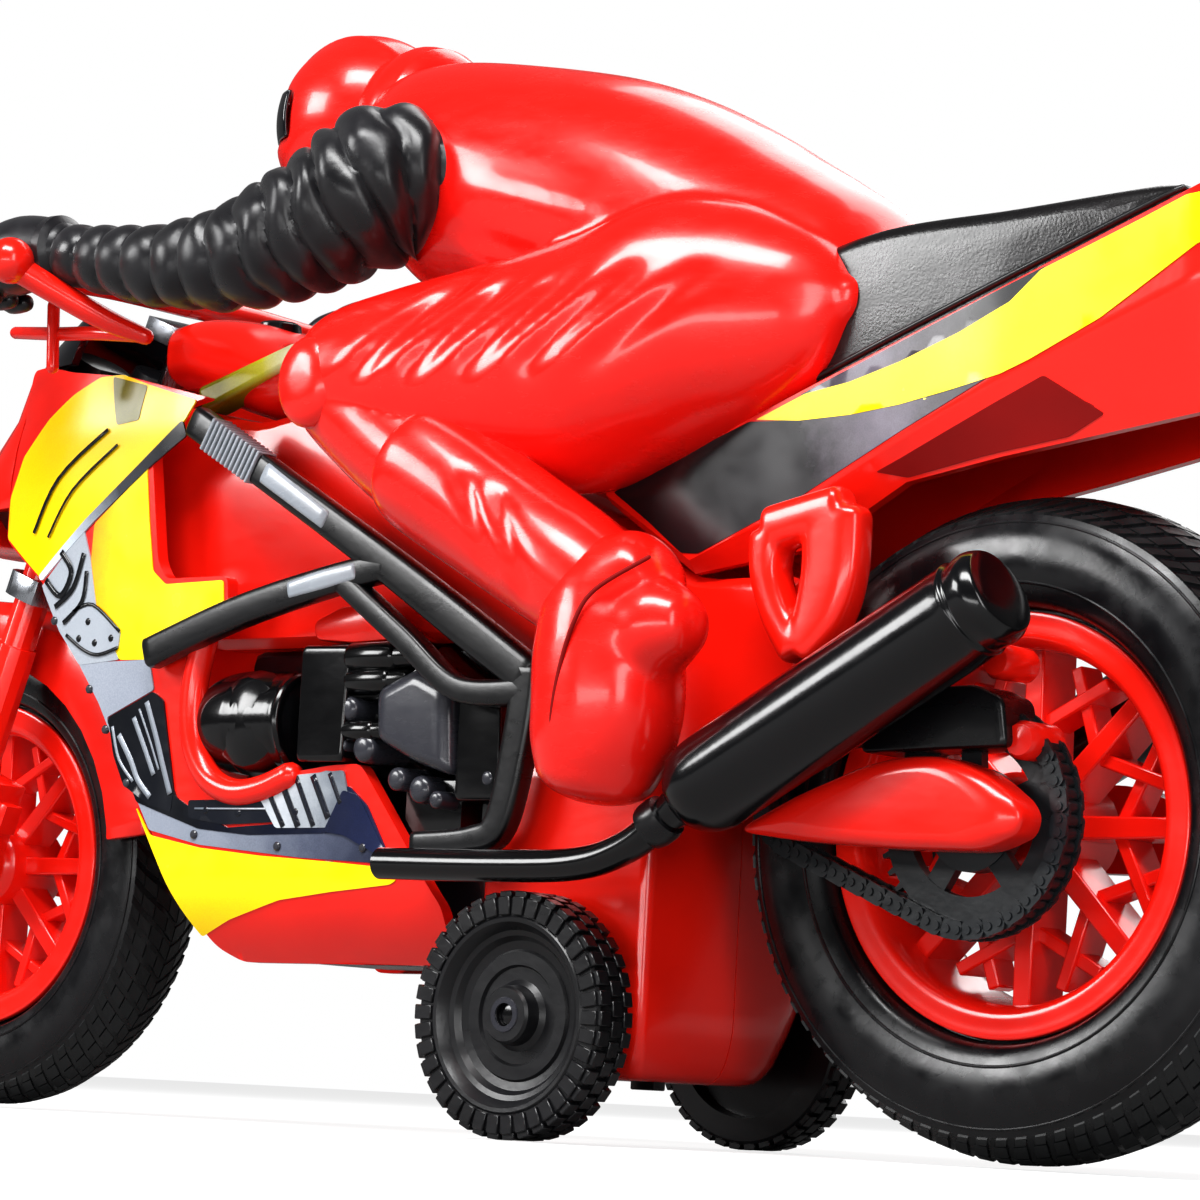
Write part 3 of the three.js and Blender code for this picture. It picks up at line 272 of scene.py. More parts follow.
def piece(name, verts, faces, look, body="chassis", angle=40):
    """A mesh from points in millimetres, riding on a body."""
    mesh = bpy.data.meshes.new(name)
    mesh.from_pydata([at(*v) for v in verts], [], faces)
    work = bmesh.new()
    work.from_mesh(mesh)
    bmesh.ops.recalc_face_normals(work, faces=work.faces)
    work.to_mesh(mesh)
    work.free()
    shade(mesh, angle)
    mesh.materials.append(look)
    made = bpy.data.objects.new(name, mesh)
    bpy.context.scene.collection.objects.link(made)
    if body:
        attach(made, body)
    return made


class Build:
    """Gathers points and faces of several shapes into one piece."""

    def __init__(self):
        self.verts, self.faces = [], []

    def add(self, verts, faces):
        start = len(self.verts)
        self.verts += [tuple(v) for v in verts]
        self.faces += [[start + i for i in face] for face in faces]
        return self

    def make(self, name, look, body="chassis", slot=None, angle=40):
        return piece(name, self.verts, self.faces, look, body, angle)


def modify(made, kind, **values):
    modifier = made.modifiers.new(kind.lower(), kind)
    for key, value in values.items():
        setattr(modifier, key, value)
    return made


def rounded(made, width, segments=2, angle=30):
    return modify(made, "BEVEL", width=width * MM, segments=segments, limit_method="ANGLE",
                  angle_limit=math.radians(angle), harden_normals=False)


def grown_together(made, voxel, rounds):
    """Joins overlapping shapes into one smooth skin."""
    modify(made, "REMESH", mode="VOXEL", voxel_size=voxel * MM, use_smooth_shade=True)
    return modify(made, "SMOOTH", factor=0.5, iterations=rounds)


def spline(points, per):
    """Points of any length of tuple, joined by a smooth curve with per steps between each two."""
    out = []
    last = len(points) - 1
    for i in range(last):
        a, b, c, d = points[max(0, i - 1)], points[i], points[i + 1], points[min(last, i + 2)]
        for k in range(per):
            t = k / per
            out.append(tuple(
                0.5 * (2 * q + (r - p) * t + (2 * p - 5 * q + 4 * r - s) * t * t
                       + (3 * q - p - 3 * r + s) * t ** 3)
                for p, q, r, s in zip(a, b, c, d)))
    return out + [tuple(points[-1])]


def skin(rings, closed=False, caps=True):
    """Faces through rings of the same count."""
    count = len(rings[0])
    verts = [v for ring in rings for v in ring]
    faces = []
    for i in range(len(rings) if closed else len(rings) - 1):
        a, b = i * count, ((i + 1) % len(rings)) * count
        faces += [[a + j, a + (j + 1) % count, b + (j + 1) % count, b + j] for j in range(count)]
    if caps and not closed:
        faces += [list(range(count))[::-1], [len(verts) - count + j for j in range(count)]]
    return verts, faces


def oval(x, centre, high, wide, sides, power=2.0):
    """A ring across the bike: a superellipse at x."""
    def bulge(v):
        return math.copysign(abs(v) ** (2 / power), v)
    return [(x, wide * bulge(math.cos(t)), centre + high * bulge(math.sin(t)))
            for t in (2 * math.pi * (i + 0.5) / sides for i in range(sides))]


def tube_rings(path, sides, side_axis=(0, 1, 0)):
    """Round rings square to a path of (x, y, z, radius)."""
    rings = []
    for i, (x, y, z, radius) in enumerate(path):
        before, after = path[max(0, i - 1)], path[min(len(path) - 1, i + 1)]
        run = (Vector(after[:3]) - Vector(before[:3])).normalized()
        over = run.cross(Vector(side_axis)).normalized()
        side = over.cross(run)
        rings.append([Vector((x, y, z)) + side * (radius * math.cos(t)) + over * (radius * math.sin(t))
                      for t in around(sides)])
    return rings


def domed(rings, steps=4, depth=0.5):
    """Closes both ends of a tube with a shallow dome in place of a flat cap."""
    def dome(ring, beyond):
        middle = sum((Vector(v) for v in ring), Vector()) / len(ring)
        out = (middle - sum((Vector(v) for v in beyond), Vector()) / len(beyond)).normalized()
        radius = (Vector(ring[0]) - middle).length
        return [[middle + (Vector(v) - middle) * math.cos(a) + out * (radius * depth * math.sin(a))
                 for v in ring]
                for a in (math.pi / 2 * k / steps * 0.98 for k in range(1, steps + 1))]
    return dome(rings[0], rings[1])[::-1] + list(rings) + dome(rings[-1], rings[-2])


def flipped(rings, side):
    return [[(v[0], v[1] * side, v[2]) for v in ring] for ring in rings]


def on_side(shape, side):
    """The points and faces of a shape, mirrored for the right side."""
    verts, faces = shape
    return [(x, side * y, z) for x, y, z in verts], faces


def tube(path, sides, steps, depth, side=1):
    """A tube along (x, y, z, radius) with domed ends, mirrored for the right side."""
    return skin(flipped(domed(tube_rings(path, sides), steps, depth), side))


def turn(profile, axle, steps, side=1):
    """A profile of (radius, y) turned about an axle at (x, z)."""
    rings = []
    for t in around(steps):
        rings.append([(axle[0] + r * math.cos(t), y * side, axle[1] + r * math.sin(t)) for r, y in profile])
    return skin(rings, closed=True)


def beam(start, end, wide, y0, y1, taper=1.0):
    """A bar in the side view between two places, wide across at its start and taper times that at its end."""
    run = (Vector(end) - Vector(start)).normalized()
    across = Vector((-run.y, run.x))
    flat = [Vector(start) + across * wide / 2, Vector(end) + across * wide * taper / 2,
            Vector(end) - across * wide * taper / 2, Vector(start) - across * wide / 2]
    verts = [(p.x, y, p.y) for y in (y0, y1) for p in flat]
    return verts, BOX_FACES


def pillow(outline, y0, y1, dome, side=1, shrink=0.3, steps=5):
    """A rounded cover: an outline in the side view that rises from y0 and domes over to y1."""
    middle = sum((Vector(p) for p in outline), Vector((0, 0))) / len(outline)
    rings = [[(x, side * y0, z) for x, z in outline]]
    for k in range(steps + 1):
        angle = math.pi / 2 * k / steps
        size = 1 - shrink * (1 - math.cos(angle))
        y = side * (y1 - dome * (1 - math.sin(angle)))
        rings.append([(middle.x + (x - middle.x) * size, y, middle.y + (z - middle.y) * size) for x,
                      z in outline])
    return skin(rings)


def strap(path, y0, y1, per=8, power=4.5, sides=28):
    """A flat bar with rounded edges along (x, z, wide) in the side view."""
    course, rings = spline(path, per), []
    deep = (y1 - y0) / 2
    for i, (x, z, wide) in enumerate(course):
        a, b = course[max(0, i - 1)], course[min(len(course) - 1, i + 1)]
        run = Vector((b[0] - a[0], b[1] - a[1])).normalized()
        ring = []
        for t in around(sides):
            c, s = (math.copysign(abs(v) ** (2 / power), v) for v in (math.cos(t), math.sin(t)))
            ring.append((x - run.y * c * wide / 2, (y0 + y1) / 2 + deep * s, z + run.x * c * wide / 2))
        rings.append(ring)
    return skin(domed(rings, 3, 0.35))


def softened(outline, radius, steps=4):
    """Rounds the corners of a closed outline of (x, z)."""
    out = []
    count = len(outline)
    for i in range(count):
        corner = Vector(outline[i])
        to_last = Vector(outline[i - 1]) - corner
        to_next = Vector(outline[(i + 1) % count]) - corner
        reach = min(radius, to_last.length * 0.45, to_next.length * 0.45)
        a, b = corner + to_last.normalized() * reach, corner + to_next.normalized() * reach
        out += [tuple(a.lerp(corner, t).lerp(corner.lerp(b, t), t))
                for t in (k / steps for k in range(steps + 1))]
    return out


def resampled(outline, step):
    out = []
    for i, a in enumerate(outline):
        b = outline[(i + 1) % len(outline)]
        count = max(1, round(math.dist(a, b) / step))
        out += [(lerp(k / count, a[0], b[0]), lerp(k / count, a[1], b[1])) for k in range(count)]
    return out


def inside(x, z, outline):
    odd = False
    for (x0, z0), (x1, z1) in zip(outline, outline[1:] + outline[:1]):
        if (z0 > z) != (z1 > z) and x < (x1 - x0) * (z - z0) / (z1 - z0) + x0:
            odd = not odd
    return odd


def sheet_mesh(outline, step=1.5, holes=()):
    """A fine flat mesh of (x, z) points that fills an outline."""
    edge = resampled(outline, step)
    points, loops = list(edge), [list(range(len(edge)))]
    for hole in holes:
        rim = resampled(hole, step)
        loops.append(list(range(len(points), len(points) + len(rim))))
        points += rim
    low_x, low_z = (min(p[k] for p in outline) for k in (0, 1))
    high_x, high_z = (max(p[k] for p in outline) for k in (0, 1))
    for i in range(1, int((high_x - low_x) / step) + 1):
        for j in range(1, int((high_z - low_z) / step) + 1):
            x, z = low_x + i * step, low_z + j * step
            if inside(x, z, outline) and not any(inside(x, z, h) for h in holes):
                if min(math.dist((x, z), p) for p in edge) > 0.45 * step:
                    points.append((x, z))
    edges = [(loop[i], loop[(i + 1) % len(loop)]) for loop in loops for i in range(len(loop))]
    flat, _, faces, *_ = delaunay_2d_cdt([Vector(p) for p in points], edges, [], 0, 1e-5)
    kept = []
    for face in faces:
        mid = sum((flat[i] for i in face), Vector((0, 0))) / len(face)
        if inside(mid.x, mid.y, outline) and not any(inside(mid.x, mid.y, h) for h in holes):
            kept.append(list(face))
    return [tuple(p) for p in flat], kept


def decal(name, outline, surface, look, side, lift, step=1.5, soften=0.0, body="chassis", thick=0.12):
    """A sticker: an outline in the side view laid on a surface that gives y for (x, z)."""
    shape = softened(outline, soften) if soften else list(outline)
    flat, faces = sheet_mesh(shape, step)
    verts = [(x, side * (surface(x, z) + lift), z) for x, z in flat]
    made = piece(name, verts, faces, look, body)
    flip = made.data.polygons[0].normal.y * side < 0
    if flip:
        made.data.flip_normals()
    modify(made, "SOLIDIFY", thickness=thick * MM, offset=-1)
    return modify(made, "NODES", node_group=SMOOTH)


# ---- CAD nodes that show as they are ----
def smooth_group(angle):
    """A modifier that shades smooth, with edges sharper than the angle left hard."""
    tree = bpy.data.node_groups.new("smooth_by_angle", "GeometryNodeTree")
    for way in ("INPUT", "OUTPUT"):
        tree.interface.new_socket("Geometry", in_out=way, socket_type="NodeSocketGeometry")
    source, result = tree.nodes.new("NodeGroupInput"), tree.nodes.new("NodeGroupOutput")
    faces = tree.nodes.new("GeometryNodeSetShadeSmooth")
    edges = tree.nodes.new("GeometryNodeSetShadeSmooth")
    edges.domain = "EDGE"
    edges.inputs["Shade Smooth"].default_value = False
    bend = tree.nodes.new("GeometryNodeInputMeshEdgeAngle")
    sharp = tree.nodes.new("FunctionNodeCompare")
    sharp.inputs[1].default_value = math.radians(angle)
    links = tree.links
    links.new(source.outputs[0], faces.inputs["Geometry"])
    links.new(faces.outputs[0], edges.inputs["Geometry"])
    links.new(bend.outputs["Unsigned Angle"], sharp.inputs[0])
    links.new(sharp.outputs[0], edges.inputs["Selection"])
    links.new(edges.outputs[0], result.inputs[0])
    return tree


SMOOTH = smooth_group(32)


def dress(name, look, bevel=0.35, segments=2):
    """Gives a CAD node its material, small bevels and shading."""
    made = NODES[name]
    for attribute in [a for a in made.data.attributes if a.name == "custom_normal"]:
        made.data.attributes.remove(attribute)
    made.data.materials.clear()
    made.data.materials.append(look)
    modify(made, "WELD", merge_threshold=2e-6)
    if bevel:
        rounded(made, bevel, segments, 28)
    modify(made, "NODES", node_group=SMOOTH)


def both(*stems):
    return [f"{stem}_{side}" for stem in stems for side, _ in SIDES]


for look, names, bevel in (
        (RED, both("body", "hanger"), 0.5),
        (RED, both("fork") + ["front_fender", "nose_cowl"], 0.4),
        (RED, both("swingarm"), 0.7),
        (RED, both("pod"), 0.8),
        (BLACK, both("engine"), 0.3),
        (SATIN, ["steering_head", "battery_door", "steering_servo", "power_switch", "cockpit"], 0.2),
        (STEEL, ["rear_axle", "front_axle", "steering_stem"], 0.15), (BLACK, ["drive_axle"], 0.15),
        (STEEL, ["motor"], 0.2),
        (BRASS, ["pinion"], 0), (NYLON, ["idler_gear"], 0), (BOARD, ["circuit_board"], 0.1),
        (SHRINK, ["battery_pack"], 0.4), (CLEAR, ["headlight"], 0.2), (LAMP_RED, ["tail_light"], 0.3),
        (VISOR, ["windscreen"], 0.2)):
    for name in names:
        dress(name, look, bevel)


# ---- Wheels ----
def arc_blocks(build, axle, course, rows, count, height, skew):
    """Tread blocks on a carcass whose course is points of (radius, y) from one shoulder to the other."""
    def spot(s, angle, lift):
        place = min(max(s, 0), 1) * (len(course) - 1)
        i = min(int(place), len(course) - 2)
        r, y = (lerp(place - i, course[i][k], course[i + 1][k]) for k in (0, 1))
        dr, dy = (course[i + 1][k] - course[i][k] for k in (0, 1))
        size = math.hypot(dr, dy)
        r, y = r + lift * dy / size, y - lift * dr / size
        return (axle[0] + r * math.cos(angle), y, axle[1] + r * math.sin(angle))
    step = 2 * math.pi / count
    for k, (s0, s1, fill) in enumerate(rows):
        for n in range(count):
            start = (n + 0.5 * (k % 2)) * step
            corners = [(s0, start, 0), (s1, start, 1), (s1, start + fill * step, 1),
                       (s0, start + fill * step, 0)]
            build.add(
                [spot(s, t + skew * end * step * (1 if k < len(rows) / 2 else -1), lift)
                 for lift in (-0.3, height) for s, t, end in corners],
                BOX_FACES)


def tyre(name, axle, radius, width, flange, count, body):
    """A carcass with tread blocks and two fine ribs on each sidewall."""
    half, rise = width / 2, radius - flange
    depth = 0.9
    bead = [(flange - 1.4, 0.5 * half), (flange - 1.5, 0.58 * half), (flange + 0.3, 0.6 * half)]
    wall = spline([(flange + 0.3, 0.66 * half), (flange + 0.7, 0.82 * half),
                   (flange + 0.12 * rise, 0.93 * half), (flange + 0.36 * rise, half),
                   (flange + 0.58 * rise, 0.97 * half), (flange + 0.76 * rise, 0.86 * half)], 7)
    crown = spline([(flange + 0.76 * rise, 0.86 * half), (radius - 0.14 * rise - 0.4, 0.62 * half),
                    (radius - depth - 0.1, 0.3 * half), (radius - depth, 0)], 6)
    one = bead + wall + crown[1:]
    other = [(r, -y) for r, y in reversed(one[:-1])]
    inside = [(flange - 1.5, -0.45 * half), (radius - 3.4, -0.5 * half), (radius - 3, 0),
              (radius - 3.4, 0.5 * half), (flange - 1.5, 0.45 * half)]
    carcass = Build().add(*turn(one + other + inside, axle, 144)).make(f"{name}_carcass", TYRE, body,
            "tyre_rubber")
    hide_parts(f"{name}_tyre")
    tread = Build()
    course = crown + [(r, -y) for r, y in reversed(crown[:-1])]
    rows = [(0.0, 0.12, 0.55), (0.135, 0.26, 0.62), (0.275, 0.41, 0.7), (0.425, 0.575, 0.72),
            (0.59, 0.725, 0.7), (0.74, 0.865, 0.62), (0.88, 1.0, 0.55)]
    arc_blocks(tread, axle, course, rows, count, depth, 0.45)
    tread.make(f"{name}_tread", TREAD, body, "tyre_rubber")
    ribs = Build()
    for radius_at, size in ((flange + 0.2 * rise, 0.22), (flange + 0.7 * rise, 0.2)):
        place = min(wall, key=lambda p: abs(p[0] - radius_at))
        for side in (1, -1):
            loop = [(place[0] + size * math.cos(t), side * (place[1] - 0.02 + size * math.sin(t)))
                    for t in around(8)]
            ribs.add(*turn(loop, axle, 120))
    ribs.make(f"{name}_sidewall_ribs", TYRE, body, "tyre_rubber")


def rim(name, axle, flange, width, body):
    """A cast rim whose spokes cross in a lattice."""
    half = width / 2
    lip = spline([(flange - 4.5, 0.42 * half), (flange - 4.3, 0.75 * half), (flange - 3.4, half - 0.25),
                  (flange - 1.4, half - 0.05), (flange - 0.3, half), (flange, half - 0.25),
                  (flange, 0.86 * half)], 4)
    inner = [(flange - 2, 0.8 * half), (flange - 3, 0.3 * half)]
    ring = lip + inner
    loop = ring + [(r, -y) for r, y in reversed(ring)]
    wheel = Build().add(*turn(loop, axle, 128))
    hub = spline([(1.9, half - 0.1), (2.6, half + 0.05), (0.2 * flange, half - 0.1),
                  (0.25 * flange, half - 1.3)], 4)
    wheel.add(*turn(hub + [(r, -y) for r, y in reversed(hub)], axle, 48))
    made = wheel.make(f"{name}_wheel_ring", RED, body, "red_gloss")
    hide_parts(f"{name}_rim")
    spokes = Build()
    depth, count = 0.45 * width, 8
    reach = flange - 4

    def spot(radius, angle):
        return axle[0] + radius * math.cos(angle), axle[1] + radius * math.sin(angle)
    for angle in around(count):
        spokes.add(*beam(spot(3, angle), spot(reach, angle), 0.115 * flange, -depth / 2, depth / 2, 0.85))
        for side in (-1, 1):
            cross = spot(0.645 * flange, angle + side * math.pi / count)
            start = spot(0.47 * flange, angle)
            end = (start[0] + 1.6 * (cross[0] - start[0]), start[1] + 1.6 * (cross[1] - start[1]))
            deep = (0.38 if side > 0 else 0.3) * depth
            spokes.add(*beam(start, end, 0.066 * flange, -deep, deep))
    rounded(spokes.make(f"{name}_spokes", RED, body, "red_gloss"), 0.28, 2)
    caps = Build()
    for side in (1, -1):
        cap = [(0, half + 1.3), (1.6, half + 1.2), (2.6, half + 0.7), (2.8, half + 0.05), (0, half + 0.02)]
        caps.add(*turn([(max(r, 0.02), y) for r, y in cap], axle, 32, side))
    caps.make(f"{name}_hub_caps", BLACK, body, "black_gloss")


tyre("rear", REAR_AXLE, 42, 22, 26.4, 84, "rear_wheel")
tyre("front", FRONT_AXLE, 36, 15, 23.9, 76, "front_wheel")
rim("rear", REAR_AXLE, 26.4, 16.4, "rear_wheel")
rim("front", FRONT_AXLE, 23.9, 12.4, "front_wheel")


def drive_wheel(name, side):
    """A small driving wheel: dished rings, radial ribs on its sidewall and a blocky tread."""
    outer, inner = 28.5, 21.5
    face = [(1.55, outer - 0.3), (1.7, outer - 0.1), (3.4, outer - 0.1), (3.7, outer - 0.5),
            (3.9, outer - 2.4), (4.6, outer - 2.9), (6.2, outer - 2.9), (6.5, outer - 2.5),
            (8.2, outer - 2.5), (8.5, outer - 2.9), (9.6, outer - 2.7), (10.2, outer - 1.9),
            (10.9, outer - 1.7), (11.4, outer - 0.9), (11.9, outer - 0.3), (12.4, outer - 0.25),
            (12.7, outer - 0.5), (14.9, outer - 0.6), (15.2, outer - 1.1)]
    back = [(15.2, inner + 0.6), (14.7, inner + 0.2), (11.6, inner), (11.4, inner + 2.2), (4, inner + 2.2),
            (3.8, inner + 0.3), (1.55, inner + 0.4)]
    made = Build().add(*turn(face + back, DRIVE_AXLE, 96, side)).make(f"{name}_disc", WHEEL, "drive",
            "black_satin", 30)
    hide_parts(name)
    blocks = Build()
    count = 38
    for t in around(count):
        for turn_by, y0, y1, r0, r1, half in (
                (0, outer - 0.9, outer - 0.12, 12.8, 15.2, 0.92),
                (0, outer - 2.5, outer - 0.5, 15, 15.9, 0.95),
                (0.5, outer - 4.7, outer - 2.8, 15, 15.9, 1),
                (0, inner + 0.3, outer - 5, 15, 15.9, 0.95)):
            angle = t + turn_by * 2 * math.pi / count
            verts = []
            for r in (r0, r1):
                for y in (y0, y1):
                    for w in (-half, half):
                        spin = angle + w / r
                        verts.append((DRIVE_AXLE[0] + r * math.cos(spin), side * y,
                                      DRIVE_AXLE[1] + r * math.sin(spin)))
            blocks.add(verts, GRID_FACES)
    rounded(blocks.make(f"{name}_tread", WHEEL, "drive", "black_satin"), 0.12, 1)
    bore = [(1.5, outer + 0.05), (2.2, outer + 0.05), (2.3, outer - 0.15), (1.5, outer - 0.15)]
    Build().add(*turn(bore, DRIVE_AXLE, 32, side)).make(f"{name}_bush", DARK_GREY, "drive", "black_satin")


for word, side in SIDES:
    drive_wheel(f"side_wheel_{word}", side)


# ---- Chain ----
CHAIN_GUARD = [(14, 49.8), (14, 57.6), (-3, 58), (-7, 56.4), (-8, 50.4)]


def chain():
    """The moulded chain with its sprocket, guard and studs."""
    rear, front, y0, y1 = REAR_AXLE, (25.4, 44.6), 12.9, 16.9
    middle_y = (y0 + y1) / 2
    path, spacing = [], 1.55
    reach_rear, reach_front = 13.5, 6.6
    lean = math.atan2(front[1] - rear[1], front[0] - rear[0])
    tilt = math.acos((reach_rear - reach_front) / math.dist(rear, front))
    for centre, radius, t0, t1 in ((rear, reach_rear, lean + tilt, lean + 2 * math.pi - tilt),
                                   (front, reach_front, lean - tilt, lean + tilt)):
        steps = 60
        path += [(centre[0] + radius * math.cos(t), centre[1] + radius * math.sin(t))
                 for t in (lerp(k / steps, t0, t1) for k in range(steps + 1))]
    total = sum(math.dist(a, b) for a, b in zip(path, path[1:] + path[:1]))
    count = 2 * round(total / spacing / 2)
    places, walked, target = [], 0, 0
    for a, b in zip(path, path[1:] + path[:1]):
        gap = math.dist(a, b)
        while target <= walked + gap and len(places) < count and gap > 0:
            t = (target - walked) / gap
            places.append((lerp(t, a[0], b[0]), lerp(t, a[1], b[1])))
            target += total / count
        walked += gap
    links = Build()
    for n, (a, b) in enumerate(zip(places, places[1:] + places[:1])):
        half = 1.9 if n % 2 else 1.55
        run = (Vector(b) - Vector(a)).normalized()
        across = Vector((-run.y, run.x))
        for side in (1, -1):
            outline = []
            for t in around(16):
                end = Vector(a) if math.cos(t) < 0 else Vector(b)
                outline.append(end + run * 0.85 * math.cos(t)
                               + across * (1.25 - 0.22 * math.cos(t) ** 8) * math.sin(t))
            ys = sorted((middle_y + side * half, middle_y + side * (half - 0.45)))
            links.add([(p.x, y, p.y) for y in ys for p in outline],
                      [list(range(16)), list(range(31, 15, -1))] + [
                          [k, (k + 1) % 16, (k + 1) % 16 + 16, k + 16] for k in range(16)])
        links.add(*turn([(0.02, middle_y - 2.1), (0.55, middle_y - 2.1), (0.55, middle_y + 2.1),
                         (0.02, middle_y + 2.1)], a, 12))
        links.add(*turn([(0.02, middle_y - 1), (0.95, middle_y - 1), (0.95, middle_y + 1),
                         (0.02, middle_y + 1)], a, 12))
    made = links.make("chain_links", CHAIN, "chassis", "chain_black")
    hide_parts("chain")
    teeth = Build()
    ring = [(9.4, middle_y - 0.8), (12.9, middle_y - 0.8), (12.9, middle_y + 0.8), (9.4, middle_y + 0.8)]
    teeth.add(*turn(ring, rear, 96))
    teeth.add(*turn([(1.9, y0 + 0.4), (6.4, y0 + 0.4), (6.4, middle_y + 1), (1.9, middle_y + 1.4)], rear, 48))
    for k in range(5):
        t = 2 * math.pi * (k + 0.2) / 5
        teeth.add(*beam((rear[0] + 5.5 * math.cos(t), rear[1] + 5.5 * math.sin(t)),
                        (rear[0] + 10 * math.cos(t), rear[1] + 10 * math.sin(t)), 3, middle_y - 0.7,
                        middle_y + 0.7))
    for t in around(38):
        teeth.add(*beam((rear[0] + 12.5 * math.cos(t), rear[1] + 12.5 * math.sin(t)),
                        (rear[0] + 14 * math.cos(t), rear[1] + 14 * math.sin(t)), 1, middle_y - 0.6,
                        middle_y + 0.6, 0.5))
    teeth.make("sprocket", CHAIN, "chassis", "chain_black")
    guard = pillow(softened(CHAIN_GUARD, 1.2), 13.6, 20.6, 0.8, 1, 0.08)
    Build().add(*guard).make("chain_guard", SATIN, "chassis", "chain_black", 40)
    stubs = Build()
    for x, z, r in ((-4.6, 61, 2.2), (-8.6, 51.4, 2.4)):
        stubs.add(*turn([(0.02, 12), (r * 0.9, 12), (r, 12.4), (r, 18), (r * 0.8, 18.8), (0.02, 19)],
                        (x, z), 32))
    stubs.make("guard_studs", RED, "chassis", "chain_black", 40)


chain()


# ---- Rider ----
def ridge(point, start, end, wide):
    """1 on a line from start to end, fading to 0 at about wide from it and at its ends."""
    a, b = Vector(start), Vector(end)
    run = b - a
    t = (point - a).dot(run) / run.length_squared
    if t < -0.15 or t > 1.15:
        return 0
    off = (point - a - run * t).length
    ends = min(1, max(0, (t + 0.15) / 0.3), max(0, (1.15 - t) / 0.3))
    return math.exp(-(off / wide) ** 2) * ends * ends * (3 - 2 * ends)


def creased(rings, folds, flat=False):
    """Pushes ring points out or in along folds of (start, end, width, height), seen from the side if flat."""
    out = []
    for ring in rings:
        middle = sum((Vector(v) for v in ring), Vector()) / len(ring)
        row = []
        for v in ring:
            p = Vector(v)
            seen = Vector((p.x, 0, p.z)) if flat else p
            rise = sum(height * ridge(seen, a, b, wide) for a, b, wide, height in folds)
            if flat:
                rise *= min(1, max(0, (p.y - middle.y) / 4))
            row.append(p + (p - middle).normalized() * rise if abs(rise) > 0.001 else p)
        out.append(row)
    return out


TORSO = [(24.6, 113, 2.4, 6), (26.6, 113, 6, 11), (30, 112.6, 11.2, 15), (36, 112.8, 15, 17.6),
         (43, 113.8, 18, 19.6), (50, 116, 19.8, 20.8), (60, 120.2, 20.4, 22), (70, 124, 20, 23),
         (85, 128.6, 18.4, 24), (98, 131.2, 17.6, 23), (107, 134.6, 13.6, 17.6), (113, 137.4, 8.6, 10)]


def torso():
    rings = [oval(x, z, high, wide, 96, 2.2) for x, z, high, wide in spline(TORSO, 8)]
    folds = []
    for side in (1, -1):
        folds += [((84, side * 23, 120), (60, side * 22, 112), 1.6, -0.9),
                  ((80, side * 24, 126), (56, side * 21, 120), 2.2, 0.5),
                  ((100, side * 20, 120), (88, side * 24, 112), 1.5, -0.8)]
    return skin(domed(creased(rings, folds), 5, 0.5))


SLEEVE = [(89, 14, 129, 5.6), (95, 22.5, 128.4, 10.6), (102, 26.4, 124, 9.8), (110, 29.4, 120, 8.4),
          (119, 31.6, 117.6, 6.9), (129, 33.4, 117.4, 5.6), (138, 34.4, 118.6, 4.8), (146.6, 35, 120.2, 4.1)]


def sleeve(word, side):
    """A ribbed rubber sleeve that bends between the shoulder and the hand."""
    per = 28
    path = spline(SLEEVE, per)
    length = [0]
    for a, b in zip(path, path[1:]):
        length.append(length[-1] + math.dist(a[:3], b[:3]))
    bellows, made = 15, []
    for (x, y, z, radius), walked in zip(path, length):
        phase = (walked / length[-1]) ** 0.86 * bellows
        made.append((x, y, z, radius, phase))
    rings = []
    for ring, (x, y, z, _, phase) in zip(tube_rings([m[:4] for m in made], 64), made):
        middle, row = Vector((x, y, z)), []
        for point in ring:
            out = point - middle
            shift = 0.34 * noise.noise(out * 0.12 + Vector((phase * 0.35, 0, 0)))
            depth = 0.15 + 0.06 * noise.noise(out * 0.2 + Vector((0, phase * 0.8, 0)))
            rib = abs(math.sin(math.pi * (phase + shift))) ** 0.6
            row.append(middle + out * (0.89 + depth * rib))
        rings.append(row)
    rings = flipped(domed(rings, 4, 0.3), side)
    piece_made = Build().add(*skin(rings)).make(f"sleeve_bellows_{word}", BELLOWS, None, "sleeve_rubber", 50)
    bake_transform(piece_made, "chassis", "steering", start=at(108, side * 29, 121), end=at(146, side * 35, 120))
    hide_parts(f"sleeve_{word}")


GLOVE = [(146.4, 35, 120.3, 4.2), (150, 35.4, 120.8, 4.8), (154, 35.6, 120.6, 5.4), (158, 35.6, 119.6, 5.2),
         (161.4, 35.6, 117.4, 4), (162.8, 35.6, 115.9, 2.4)]


def glove(word, side):
    """A closed hand round the grip."""
    hand = Build().add(*tube(spline(GLOVE, 6), 40, 3, 0.4, side))
    for k in range(4):
        y = 31.2 + 2.9 * k
        finger = spline([(156.5, y, 122.4, 1.5), (160.4, y, 121, 1.7), (162.6, y, 117.8, 1.6),
                         (161.4, y, 114.9, 1.5), (158.4, y, 114.6, 1.3)], 6)
        hand.add(*tube(finger, 16, 3, 1, side))
    cuff = [(147.6 + dx, 35.1, 120.5, r) for dx, r in ((-1.2, 4.6), (-0.8, 5.1), (0.6, 5.1), (1, 4.6))]
    hand.add(*tube(cuff, 40, 2, 0.3, side))
    made = hand.make(f"hand_{word}", BELLOWS, "steering", "sleeve_rubber", 50)
    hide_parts(f"glove_{word}")


